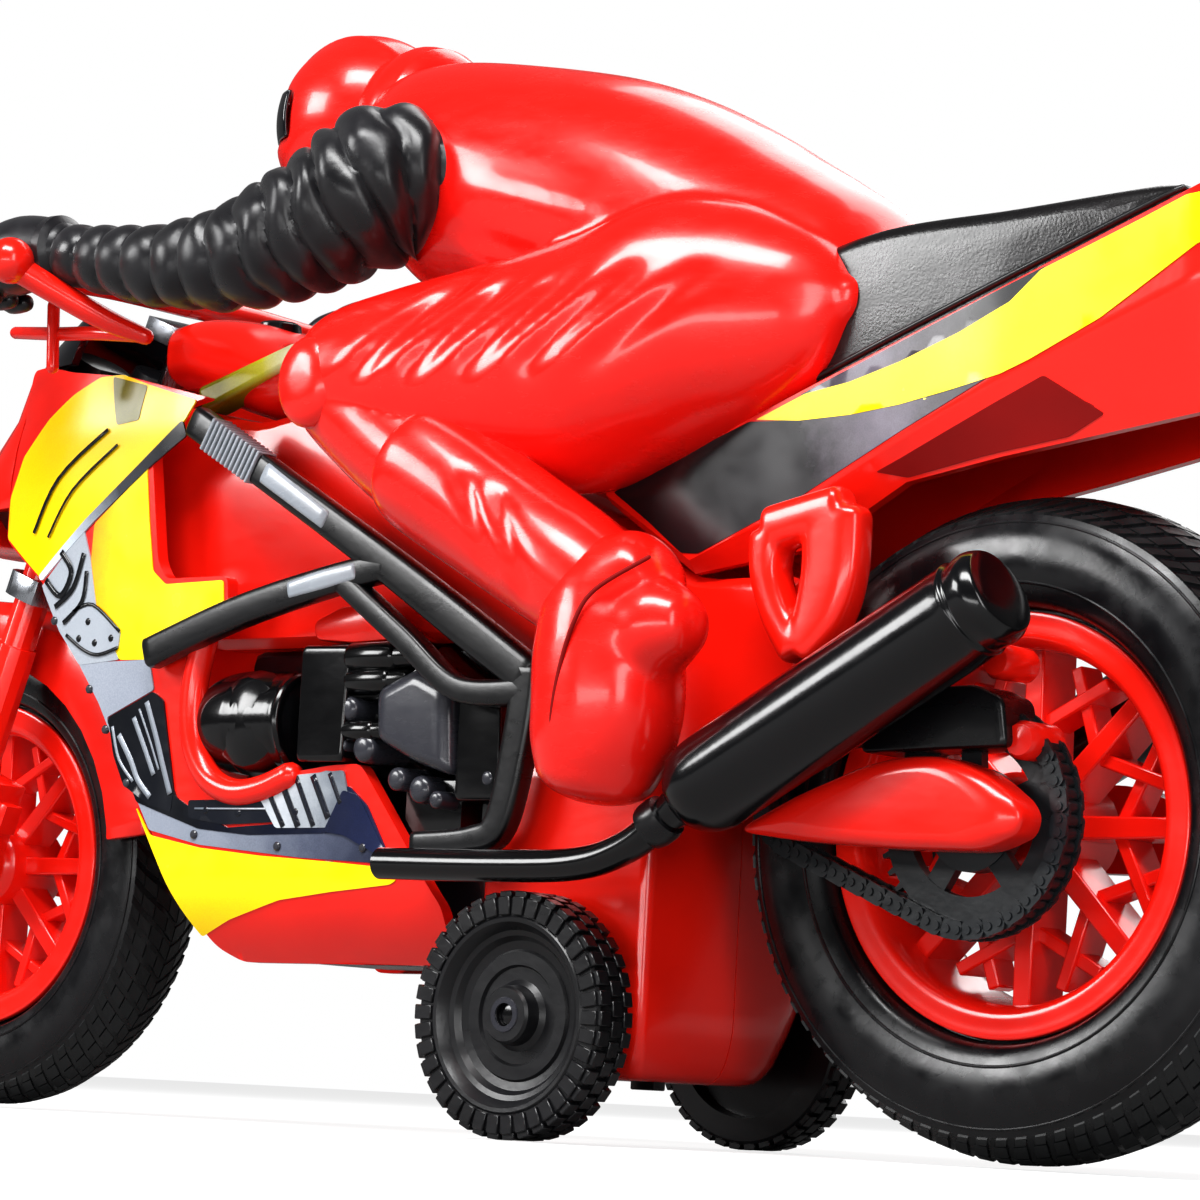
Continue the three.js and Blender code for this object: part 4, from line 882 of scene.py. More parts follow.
THIGH = [  # x, height of the middle, half height, middle y, half width
    (24.4, 108.5, 3, 12, 3), (27.4, 107.6, 7.8, 12.5, 6), (32, 107.2, 11.4, 13.2, 9),
    (40, 107, 15, 14.4, 12.5), (50, 105.4, 17.4, 16.4, 15), (61, 101.5, 17, 19, 15.5),
    (74, 100, 15, 23, 14), (86, 100, 12, 27, 12), (96, 100, 9, 29.6, 9), (101, 99.5, 5, 30, 5)]
SHIN = [(99, 30, 101.6, 5.4), (94.6, 30, 98.8, 8.2), (83, 30, 89.4, 8), (66, 30, 79.4, 7.8),
        (50, 30, 70.4, 7.6), (42, 30, 64, 6.4)]
BOOT = [(41, 30, 72.4, 6), (45.8, 30, 68.4, 8.8), (46.8, 30, 62, 9.7), (46.6, 30, 55.4, 9.8),
        (47.4, 30, 50, 9.2), (48, 30, 46.6, 8)]
HEEL = [(44, 30.5, 63.6, 7.4), (39.6, 30.6, 64.6, 6.6), (36.4, 30.8, 65, 5.8), (34.2, 31, 65, 4.4)]
BOOT_SEAM = [(36.5, 35.6, 73), (42.4, 38.6, 68.8), (44.7, 39.7, 64.6), (46.7, 39.7, 58.5),
             (47.9, 39.2, 52.6), (48.6, 37.6, 47.4)]
SEAM_RADIUS = 0.3
THIGH_FOLDS = [((86 - 8.4 * k + off, 0, 98.6), (72 - 8.4 * k + off, 0, 110.6), wide, rise)
               for k in range(5) for off, wide, rise in ((0, 1.5, -0.75), (3.6, 2, 0.45))]
SHIN_FOLDS = [((66, 0, 84), (60, 0, 72), 1.4, -0.9), ((61, 0, 82), (55, 0, 69), 1.4, -0.9),
              ((63.6, 0, 83), (57.6, 0, 70.6), 1.2, 0.5)]


def leg_shapes(side):
    """The thigh and the shin of one leg."""
    thigh = [[(x, y + wide * math.cos(t), z + high * math.sin(t)) for t in around(96)]
             for x, z, high, y, wide in spline(THIGH, 10)]
    shin = tube_rings(spline(SHIN, 10), 72)
    return [skin(flipped(domed(creased(rings, folds, True), 5, 0.6), side))
            for rings, folds in ((thigh, THIGH_FOLDS), (shin, SHIN_FOLDS))]


def suit():
    """Jacket and trousers, grown together like the one moulding that they are."""
    made = Build().add(*torso())
    for side in (1, -1):
        for shape in leg_shapes(side):
            made.add(*shape)
    body = made.make("rider_suit", SUIT, "chassis", "red_suit", 60)
    grown_together(body, 0.55, 7)
    for name in ("torso", "leg_left", "leg_right"):
        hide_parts(name)
    collar = spline([(108, 0, 141, 11.5), (111.5, 0, 141.4, 11.8), (115, 0, 142, 10.6)], 5)
    Build().add(*tube(collar, 48, 3, 0.3)).make("collar", SUIT, "chassis", "red_suit", 60)


suit()


def boot(word, side):
    """Boot, heel, seam, shin guard and knee pad."""
    made = Build()
    for path in (BOOT, HEEL):
        made.add(*tube(spline(path, 8), 64, 5, 0.5, side))
    shoe = made.make(f"boot_{word}", SUIT, "chassis", "red_suit", 60)
    grown_together(shoe, 0.55, 26)
    seam = [place + (SEAM_RADIUS,) for place in spline(BOOT_SEAM, 8)]
    Build().add(*tube(seam, 10, 2, 1, side)).make(f"boot_seam_{word}", SEAM_AND_SHADE_RED, "chassis", "red_suit", 60)
    guard = [(81, 30, 88.2, 8), (80, 30, 87.6, 8.8), (76.6, 30, 85.6, 9.1), (66, 30, 79.4, 8.7),
             (54, 30, 72.7, 8.4), (46, 30, 67.6, 7.6)]
    Build().add(*skin(flipped(domed(creased(tube_rings(spline(guard, 8), 64), SHIN_FOLDS, True), 3, 0.1),
                              side))).make(
        f"shin_guard_{word}", SUIT, "chassis", "red_suit", 50)
    pad = [(95 + 5.2 * math.cos(t), 98.4 + 6.2 * math.sin(t)) for t in around(40)]
    Build().add(*pillow(pad, 34, 39.7, 2.4, side, 0.75, 8)).make(f"knee_pad_{word}", SUIT, "chassis",
            "red_suit", 60)


for word, side in SIDES:
    sleeve(word, side)
    glove(word, side)
    boot(word, side)


def helmet():
    """A closed helmet with a chin bar and a smoked shield."""
    centre, radius = Vector((122.5, 0, 143.2)), 12.8
    rings = []
    for i in range(1, 60):
        lat = math.pi * i / 60
        ring = []
        for lon in around(96):
            way = Vector((math.sin(lat) * math.cos(lon), math.sin(lat) * math.sin(lon), math.cos(lat)))
            size = radius
            chin = max(0, way.x) ** 2 * max(0, -way.z + 0.15)
            window = (1 / (1 + math.exp(-(way.x - 0.42) * 26))) * (
                1 / (1 + math.exp(-(0.26 - abs(way.z - 0.02)) * 34)))
            crest = math.exp(-((abs(way.y) - 0.42) / 0.09) ** 2) * max(0, way.z) * 0.35
            p = Vector((way.x * 1.06, way.y * 0.94, way.z)) * (size + chin * 3 - window * 1.1 + crest)
            ring.append(centre + p)
        rings.append(ring)
    made = Build().add(*skin(rings)).make("helmet_shell", SUIT, "chassis", "red_suit", 50)
    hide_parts("helmet")
    glass = []
    for i in range(25):
        z = lerp(i / 24, -0.24, 0.28)
        row = []
        for j in range(49):
            lon = math.radians(lerp(j / 48, -64, 64))
            flat = math.sqrt(1 - z * z)
            way = Vector((flat * math.cos(lon) * 1.06, flat * math.sin(lon) * 0.94, z))
            row.append(centre + way * (radius + 0.15))
        glass.append(row)
    verts = [v for row in glass for v in row]
    faces = [[a, a + 1, a + 50, a + 49] for i in range(24) for a in range(i * 49, i * 49 + 48)]
    shield = piece("visor_glass", verts, faces, VISOR, "chassis")
    modify(shield, "SOLIDIFY", thickness=0.5 * MM, offset=0)
    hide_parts("visor")


helmet()


# ---- Fairing ----
def fairing_width(x, z):
    """Half the fairing's width at (x, z) of the side view."""
    tuck = max(0, (34 - z) / 14)
    crown = max(0, (z - 96) / 16)
    side = 21 - 8 * tuck ** 2 - 3 * crown ** 2
    turn_in = min(1, max(0, (x - 155) / ramp(z, 88, 42, 100, 30)))
    return side * math.sqrt(1 - turn_in ** 2) - ramp(x, 104, 1.6, 136, 0)


FAIRING = [(131, 101), (147.5, 105), (160, 106.5), (167, 108), (172, 108), (172, 82.5), (162.5, 76),
           (147.2, 57), (126.3, 24), (123, 22.2), (83, 22.5), (83, 30), (87, 35.2), (98.6, 49.2),
           (104, 49), (110, 48.2), (115, 46.4), (121, 45.2), (126, 46.8), (129, 50.6), (130.4, 55.5),
           (130.2, 61), (129.4, 66.7), (124.5, 70.2), (124.9, 75.5), (136.6, 75.4), (138.4, 78),
           (141.4, 96.5), (140.6, 98.8)]


def panel(name, outline, surface, look, side, thick, body="chassis", step=1.8, bevel=0.4,
          soften=1.2):
    """A curved sheet of plastic: a side-view outline laid on a surface, with its thickness inwards."""
    flat, faces = sheet_mesh(softened(outline, soften), step)
    count = len(flat)
    verts = [(x, side * surface(x, z), z) for x, z in flat] + [
        (x, side * (surface(x, z) - thick), z) for x, z in flat]
    rim = {}
    for face in faces:
        for a, b in zip(face, face[1:] + face[:1]):
            rim[(a, b)] = rim.get((a, b), 0) + 1
    edges = [(a, b) for a, b in rim if (b, a) not in rim]
    all_faces = faces + [[i + count for i in reversed(face)] for face in faces]
    all_faces += [[b, a, a + count, b + count] for a, b in edges]
    made = piece(name, verts, all_faces, look, body, 40)
    return rounded(made, bevel, 2, 50) if bevel else made


STICKER = {
    "yellow": printed("print_yellow", [(0, "FFE600"), (1, "FFD400")], at(0, 0, 60), at(160, 0, 90)),
    "fairing_yellow": printed("print_fairing_yellow", [(0, "FF9A12"), (0.3, "FFE000"), (1, "FFEA00")],
                              at(152, 0, 74), at(128, 0, 74)),
    # The grey band in the middle of the black sticker's fade is a painted reflection highlight on the glossy
    # film.
    "black": printed("print_black_and_painted_highlight", [(0, "141416"), (0.45, "1A181B"), (0.62, "6A6470"), (0.7, "4A464C"),
                                     (0.85, "1A181B"), (1, "131315")], at(60, 0, 74), at(-12, 0, 104), 0.18),
    "dark_band": printed("print_dark_band", [(0, "101014"), (0.45, "3A3D44"), (0.8, "B9C2CC"), (1, "DDE4EA")],
                         at(134, 0, 96), at(160, 0, 76), 0.16),
    "grey": printed("print_grey", [(0, "9CA2AD"), (0.25, "949AA6"), (0.55, "858C99"), (0.8, "4E5466"),
                                   (1, "1E2238")],
                    at(158, 0, 60), at(92, 0, 36), 0.2),
    "navy": printed("print_navy", [(0, "0A0D14"), (0.6, "10162B"), (1, "232B4E")],
                    at(130, 0, 44), at(92, 0, 38), 0.18),
    "silver": printed("print_silver", [(0, "A4AAB2"), (0.5, "747C86"), (0.75, "BCC2C8"), (1, "5F6670")],
                      at(150, 0, 50), at(100, 0, 46), 0.16),
    "ink": printed("print_ink", [(0, "0D0F14"), (1, "1B1F2A")], at(150, 0, 50), at(100, 0, 46), 0.18),
    # The olive fade to near white is painted shade and sheen: olive where the tank strip turns from the light,
    # near white where it catches it. The small fairing patch takes the plain dark olive at the start.
    "olive": printed("olive_print_and_painted_sheen", [(0, "6E6A12"), (0.6, "C9C32A"), (1, "F3F0C8")], at(134, 0, 103),
                     at(120, 0, 107)),
}
YELLOW_TOP = [(171.6, 88.8), (169.4, 94.6), (163.7, 99.7), (158.4, 103), (153.4, 105.3), (148.8, 105.4),
              (143.2, 103.6), (133, 100.7), (135, 97.6), (153.3, 84.4), (162.6, 76.4), (171.6, 82.7)]
DARK_BAND = [(135.1, 97.9), (134.1, 95.6), (141.2, 91.4), (151.8, 84.1), (162.2, 75.9), (163, 76.6),
             (153.3, 84.7)]
YELLOW_L = [(138.8, 93.4), (151.7, 83.8), (151.9, 78.6), (150.5, 72.5), (144.8, 64.1), (138.7, 64),
            (138.4, 66.5), (125.2, 71), (125.6, 74.9), (136.5, 74.6), (139.2, 76.6), (140.6, 84.2),
            (141.6, 91.2)]
MACHINE = [(153.7, 83), (162, 75.2), (157.5, 68.6), (152.9, 63.5), (144.8, 64.1), (150, 71.4), (151.9, 78.6)]
GREY_RIM = [(162.2, 75.6), (156.3, 67.8), (148.4, 58), (143.5, 50.4), (136.6, 40), (127, 38), (108.6, 36.4),
            (91.2, 35.6), (100.7, 40.2), (117.9, 39.8), (127.2, 40.6), (137.6, 43.9), (142.4, 49.9),
            (146.6, 55.9), (137.4, 59.7), (138.7, 64), (153, 63.8), (157.5, 68.4), (161.6, 74.4)]
ENGINE_PRINT = [(146.4, 55.6), (137.4, 59.5), (136, 52.6), (131.8, 44.6), (127.5, 42.4), (121.9, 40.4),
                (112.5, 41), (106.9, 43.4), (100.3, 46.2), (96.8, 43.6), (91.8, 36), (100.7, 39.8),
                (117.9, 39.4), (127.2, 40.2), (139.4, 43.9), (143, 49.9)]
DARK_PRINT = [(146.1, 55.9), (137.3, 59.4), (135.3, 58.2), (132.3, 45.6), (132.6, 42.5), (136.9, 43.5),
              (142.2, 46.3), (144.6, 50.6)]
BLACK_STRIP = [(129.4, 44.2), (113.4, 44.3), (113.1, 41.2), (122.6, 40.8), (129.2, 41.7)]
FINS = [(117.1, 45.6), (109.5, 47.7), (101.4, 48.3), (100.2, 44.9), (103.5, 40.5), (113.1, 40.4)]
NAVY_END = [(101.2, 45.6), (98.3, 44.9), (91.8, 35.9), (100.7, 39.5), (104.4, 39.9)]
BRACKET = [(154.7, 71.2), (150.7, 72.1), (144.8, 68.1), (145, 65.8), (149, 64.9), (152.1, 65.7),
           (155.8, 67.9)]
OLIVE_PATCH = [(150.7, 105.2), (143.2, 103.4), (144, 98.4), (148.4, 97.9)]
YELLOW_LOW = [(139.6, 43.2), (136.5, 39.3), (127, 37.6), (115.8, 36.6), (103.2, 35.9), (91.5, 35.1),
              (90.7, 33.5), (91.9, 32.9), (103, 31.8), (112.2, 30.6), (122.1, 27.8), (128.2, 25.4),
              (134, 34.4)]


STICKERS = [(YELLOW_TOP, "yellow", 0.16), (OLIVE_PATCH, "olive", 0.24), (DARK_BAND, "dark_band", 0.3),
            (YELLOW_L, "fairing_yellow", 0.18), (MACHINE, "silver", 0.26), (GREY_RIM, "grey", 0.22),
            (ENGINE_PRINT, "navy", 0.3), (DARK_PRINT, "ink", 0.36), (BLACK_STRIP, "ink", 0.36),
            (FINS, "silver", 0.38), (NAVY_END, "navy", 0.44), (BRACKET, "silver", 0.36),
            (YELLOW_LOW, "yellow", 0.18)]
INK_STROKES = [  # points of the dark lines in the machine drawing, and their widths
    ([(161, 76), (157.6, 73.6), (155.6, 77), (158, 80)], 0.9),
    ([(158.6, 72), (155, 74.6), (153.2, 79.6)], 0.8), ([(156.6, 69.6), (153, 72.6), (152.4, 77)], 0.7),
    ([(155.8, 67.9), (152.1, 65.7), (149, 64.9), (145, 65.8)], 0.5),
    ([(154.7, 71.2), (150.7, 72.1), (144.8, 68.1)], 0.5), ([(115.2, 46.3), (111.6, 40.6)], 0.8),
    ([(112.5, 47), (108.9, 40.6)], 1), ([(109.8, 47.4), (106.2, 40.7)], 0.8),
    ([(106.8, 47.6), (103.6, 41.8)], 1), ([(103.8, 47.9), (101.5, 43.8)], 0.7),
    ([(164.6, 83), (159.8, 90.6), (149.9, 97.3)], 0.55), ([(161.2, 82.2), (156.4, 88.9), (147.7, 95)], 0.4)]
SHINE_STROKES = [
    ([(143.6, 53.4), (140.9, 49.8), (139.2, 47), (136.6, 44.6)], 0.9),
    ([(140.8, 55.8), (138.5, 51.9), (136.1, 47.7)], 0.8),
    ([(138.4, 58), (136.2, 53.3), (134.5, 49.1), (132.8, 45)], 0.9),
    ([(145, 54.6), (143.3, 50), (140.2, 46.8)], 0.5), ([(139.8, 57), (137.2, 52.4), (135.2, 48.4)], 0.35),
    ([(128, 43), (115, 43)], 0.25)]
INK_DOTS = [(151.5, 69.7), (149.9, 66.6), (153.2, 67.3), (146.6, 67.2), (109.6, 42.6), (126, 42.8),
            (120, 42.4)]
INK_LIFT, SHINE_LIFT, INK_THICK = 0.44, 0.46, 0.06
RIVETS = [(158.6, 70), (150.4, 60), (146.6, 54.2), (141.6, 46.6), (112.6, 37.9), (97, 37.8), (128, 39.4)]


def stroke(points, wide, lift, side):
    """A line of ink on the fairing through points of (x, z)."""
    course = spline(points, 5)
    verts, faces = [], []
    for i, (x, z) in enumerate(course):
        a, b = course[max(0, i - 1)], course[min(len(course) - 1, i + 1)]
        run = Vector((b[0] - a[0], b[1] - a[1])).normalized()
        off = Vector((-run.y, run.x)) * wide / 2
        for sign in (1, -1):
            px, pz = x + sign * off.x, z + sign * off.y
            verts.append((px, side * (fairing_width(px, pz) + lift), pz))
    for i in range(len(course) - 1):
        faces.append([2 * i, 2 * i + 1, 2 * i + 3, 2 * i + 2])
    return verts, faces


def button(x, z, radius, rise, side):
    """A small domed round on the fairing."""
    y = fairing_width(x, z)
    return skin([[(x + r * math.cos(t), side * (y + h), z + r * math.sin(t)) for t in
                  around(20)]
                 for r, h in ((radius, 0), (radius, rise * 0.7), (radius * 0.7, rise),
                              (radius * 0.3, rise * 1.02))])


def fairing(word, side):
    """One half of the fairing with its stickers, rolled edge and rivets."""
    made = panel(f"fairing_skin_{word}", FAIRING, fairing_width, RED, side, 2, step=1.4)
    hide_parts(f"fairing_{word}")
    for k, (outline, look, lift) in enumerate(STICKERS):
        decal(f"fairing_sticker_{k}_{word}", outline, fairing_width, STICKER[look], side, lift, 1.4, 0.5,
              thick=0.3)
    # the rolled edge round the engine's round cover
    rolled = spline([(128.6, 66.6), (129.9, 61), (130, 55.3), (128.6, 50.4), (125.6, 46.9), (121, 45.3),
                     (116, 45.9), (111.4, 47.6)], 8)
    path = [(x, side * (fairing_width(x, z) - 0.2), z, 1.9) for x, z in rolled]
    Build().add(*tube(path, 16, 3, 1)).make(f"fairing_rolled_edge_{word}", RED, "chassis", "red_gloss")
    rivets, dots = Build(), Build()
    for x, z in RIVETS:
        rivets.add(*button(x, z, 0.62, 0.6, side))
    rivets.make(f"fairing_rivets_{word}", DARK_GREY, "chassis", "black_satin")
    for x, z in INK_DOTS:
        dots.add(*button(x, z, 0.5, 0.5, side))
    for points, wide in INK_STROKES:
        dots.add(*stroke(points, wide, INK_LIFT, side))
    modify(dots.make(f"sticker_lines_{word}", STICKER["ink"]), "SOLIDIFY", thickness=INK_THICK * MM, offset=0)
    shine = Build()
    for points, wide in SHINE_STROKES:
        shine.add(*stroke(points, wide, SHINE_LIFT, side))
    modify(shine.make(f"sticker_shine_{word}", STICKER["silver"]), "SOLIDIFY", thickness=INK_THICK * MM,
           offset=0)


for word, side in SIDES:
    fairing(word, side)


# ---- Tail, seat and tank ----
TAIL = [  # x, heights of the top, shoulder, crease and underside, and the half-widths there
    (61, (86.4, 85.8, 84.6, 83.6), (13, 15.5, 15.5, 14.2)), (46, (91, 90, 75.4, 73.8), (13, 16, 16, 14.6)),
    (28, (97.8, 96.8, 82.5, 76.6), (13, 16, 16, 13.4)),
    (14, (103, 102, 89.2, 84.4), (12.8, 15.8, 15.8, 13.2)),
    (0, (108.3, 107.3, 95.8, 86.9), (12.5, 15.5, 15.5, 13)),
    (-28, (119.3, 118.4, 107.2, 91.6), (11, 14, 14, 10)),
    (-46, (123.4, 122.6, 113.4, 102), (6.6, 8.6, 8.6, 6.6))]


def tail_at(x):
    for (x0, h0, w0), (x1, h1, w1) in zip(TAIL, TAIL[1:]):
        if x1 <= x <= x0:
            t = (x0 - x) / (x0 - x1)
            return [lerp(t, a, b) for a, b in zip(h0, h1)], [lerp(t, a, b) for a, b in zip(w0, w1)]
    return TAIL[-1][1:] if x < TAIL[-1][0] else TAIL[0][1:]


def tail_side(x, z):
    heights, widths = tail_at(x)
    if z < heights[2]:
        t = min(1, (heights[2] - z) / max(0.01, heights[2] - heights[3]))
        return lerp(t, widths[2], widths[3])
    return widths[1]


TAIL_YELLOW = [(36.1, 93.1), (28.3, 96), (21.5, 97.1), (13.9, 99.2), (5, 102.4), (-2.2, 105.7), (-6.5, 109.4),
               (-20.1, 114.6), (-26.5, 117.2), (-31.5, 117.8), (-35, 115.6), (-33.4, 112.2), (-28.4, 111.3),
               (-21.8, 107.1), (-15.1, 102.9), (-5.4, 98.4), (-1.2, 96.8), (6.1, 95.2), (13.6, 93.8),
               (21.3, 92.9), (29.1, 92.6)]
TAIL_TOP_BLACK = [(29.5, 95.8), (-7.2, 109.9), (-2.2, 105.6), (5, 102.3), (13.9, 99.1), (21.5, 97)]
TAIL_LOW_BLACK = [(59.6, 84.9), (37.2, 92.9), (29.1, 92.7), (21.3, 93), (13.6, 93.9), (6.1, 95.3),
                  (0.3, 96.6), (13.4, 90.4), (28.5, 82.8), (44.6, 76.2), (47.4, 76.4), (53.4, 80.8)]
RECESS_SHADE = [(17.5, 85.6), (-7, 96.4), (-14.5, 91.6), (-9.5, 89), (2.5, 87), (13.5, 84.9)]


def tail(word, side):
    """One half of the tail shell with its stickers, the black ones with a painted highlight, and a darker red
    sheet of painted shade over the recess.
    """
    rings = []
    stations = [61, 57, 53, 49.5, 46] + [46 - 2 * k for k in range(1, 47)]
    for x in stations:
        heights, widths = tail_at(x)
        top, shoulder, crease, under = heights
        w_top, w_shoulder, w_crease, w_under = widths
        ring = [(w_top * k / 4, top + 0.25 * (1 - (k / 4) ** 2)) for k in range(5)]
        ring += [(lerp(t, w_top, w_shoulder), lerp(t * t, top, shoulder)) for t in (0.4, 0.75, 1)]
        ring += [(w_shoulder, lerp(t, shoulder, crease)) for t in (0.1, 0.4, 0.7, 0.92, 1)]
        for t in (0.06, 0.14, 0.2, 0.5, 0.8, 0.86, 0.94, 1):
            ring.append((lerp(t, w_crease, w_under), lerp(t, crease, under)))
        ring += [(w_under - 1.6, under), (w_under - 1.6, under + 0.9)]
        inner = [(y, z) for y, z in ((w_crease - 1.7, crease), (w_shoulder - 1.7, shoulder - 1.6),
                                     (w_top - 1.6, top - 1.6), (0, top - 1.6))]
        rings.append([(x, side * y, z) for y, z in ring + inner])
    made = Build().add(*skin(rings)).make(f"tail_shell_{word}", RED, "chassis", "red_gloss", 30)
    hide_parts(f"tail_{word}")
    # The black tail stickers carry a painted reflection highlight in their grey middle band.
    for k, (outline, look, lift) in enumerate(((TAIL_LOW_BLACK, "black", 0.12),
                                               (TAIL_TOP_BLACK, "black", 0.12),
                                                       (TAIL_YELLOW, "yellow", 0.2))):
        decal(f"tail_sticker_{k}_{word}", outline, tail_side, STICKER[look], side, lift, 1.6, 0.4, thick=0.3)
    # A darker red sheet laid on the tail side where the recess lies in shadow: painted shade, with no recess cut
    # in the shell.
    decal(f"tail_recess_painted_shade_{word}", RECESS_SHADE, tail_side, SEAM_AND_SHADE_RED, side, 0.14, 1.2, 0.4, thick=0.4)


for word, side in SIDES:
    tail(word, side)


def seat():
    stops = [(40, 112, 93.4, 13), (22, 117.3, 100.4, 13), (0, 118.6, 108.7, 12.6), (-20, 120, 116.6, 11.2),
             (-23.5, 119.6, 118.1, 10.4)]
    rings = []
    for x, top, low, half in spline(stops, 8):
        ring = [(half, low), (half + 0.1, lerp(0.5, low, top)), (half, top - 2.4)]
        ring += [(half - 2.2 + 2.2 * math.cos(t), top - 2.4 + 2.2 * math.sin(t))
                 for t in (math.pi / 2 * k / 6 for k in range(1, 7))]
        ring += [(half - 2.2 - (half - 2.2) * k / 8, top - 0.2 + 0.25 * math.sin(math.pi / 2 * k / 8))
                 for k in range(1, 9)]
        ring += [(-y, z) for y, z in reversed(ring[:-1])]
        rings.append([(x, y, z) for y, z in ring])
    made = Build().add(*skin(rings)).make("seat_pad", SEAT, "chassis", "black_gloss", 50)
    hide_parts("seat")
    piping = Build()
    for side in (1, -1):
        path = [(x, side * (half + 0.15), low + 0.9, 0.42) for x, top, low, half in spline(stops, 6)]
        piping.add(*tube(path, 10, 2, 1))
    piping.make("seat_piping", SATIN, "chassis", "black_satin")


seat()


def tank():
    stops = [(88, 101.5, 6, 11.5), (97, 103.2, 6.6, 13.4), (112, 105.4, 4.8, 14.3), (127, 104.8, 5.6, 14.3),
             (136, 107.6, 6.7, 13.4), (144, 109.7, 5.8, 12.4), (151, 110.3, 5, 9.6)]
    rings = [oval(x, z, high, wide, 64, 3) for x, z, high, wide in spline(stops, 8)]
    made = Build().add(*skin(domed(rings, 3, 0.06))).make("tank_shell", RED, "chassis", "red_gloss", 60)
    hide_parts("tank")
    cap = [(0.05, 1.2), (2.6, 1.2), (3.2, 0.8), (3.4, -0.6), (0.05, -0.6)]
    verts, faces = turn(cap, (0, 0), 32)
    Build().add([(x + 138, z, y + 114.2) for x, y, z in verts], faces).make("tank_cap", BLACK, "chassis",
            "black_gloss")


tank()
# The tank strips fade from olive to near white: painted shade and sheen on a yellow strip.
for word, side in SIDES:
    strip = Build().add(*beam((138, 101.8), (119.4, 107.7), 3.8, side * 10, side * 15.5, 0.75))
    rounded(strip.make(f"tank_strip_{word}", STICKER["olive"], "chassis"), 0.8, 3)


# ---- Frame, exhaust ----
FRAME_PATHS = [[(130, 97, 4.6), (110, 85.8, 4.6), (91, 75, 5), (78, 67.2, 5.4), (66, 60, 5.2)],
               [(136.4, 64.6, 4.4), (120, 69.8, 4.4), (104, 73.4, 4.2), (92, 75.4, 4)],
               [(100, 73.6, 3.4), (88, 65.4, 3.4), (78, 58.6, 3.4), (66, 58, 3.6)],
               [(66, 61, 4.6), (67, 52, 4.6), (69.6, 41, 4.2), (74, 38.6, 3.8), (84, 38, 3.4)]]
SILVER_BAR = [(115, 88.9, 3.4), (103, 81.9, 3)]
FRONT_TRIM = [(109, 72.5, 2.6), (103, 73.7, 3), (97, 74.7, 2.6)]
RIBBED_BAR = ((126.4, 95), (116.6, 89.5), 12, 4.9)
FRAME_Y = (21.3, 24.6)


def side_frame(word, side):
    """The black frame bars of one side with their silver trims."""
    bars = Build()
    for path in FRAME_PATHS:
        bars.add(*on_side(strap(path, *FRAME_Y), side))
    made = bars.make(f"side_frame_{word}", SATIN, "chassis", "black_satin", 50)
    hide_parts(f"frame_{word}")
    trim = Build()
    for path in (SILVER_BAR, FRONT_TRIM):
        trim.add(*on_side(strap(path, FRAME_Y[0] - 0.1, FRAME_Y[1] + 0.25), side))
    trim.make(f"frame_trim_{word}", SILVER, "chassis", "black_satin", 50)
    start, end, count, wide = RIBBED_BAR
    ribs = Build()
    for k in range(count):
        a, b = (tuple(lerp((k + t) / count, p, q) for p, q in zip(start, end)) for t in (0, 0.55))
        ribs.add(*beam(a, b, wide, side * FRAME_Y[0], side * (FRAME_Y[1] + 0.45)))
    rounded(ribs.make(f"frame_ribs_{word}", SILVER, "chassis", "black_satin"), 0.2, 2)


ENGINE_CAN = (15, 55.3)
GREY_COVER = [(94.8, 59), (87.6, 61.9), (81.3, 59.2), (80.4, 47.2), (87.2, 49.1), (94.3, 52.3)]
INNER_WALL = [(141.5, 71), (106, 71), (106, 42), (128, 42), (138, 52)]
RED_PANEL = [(109, 68.6), (104, 70.6), (99, 71), (90.8, 66), (101, 65.6), (108.4, 66.2)]


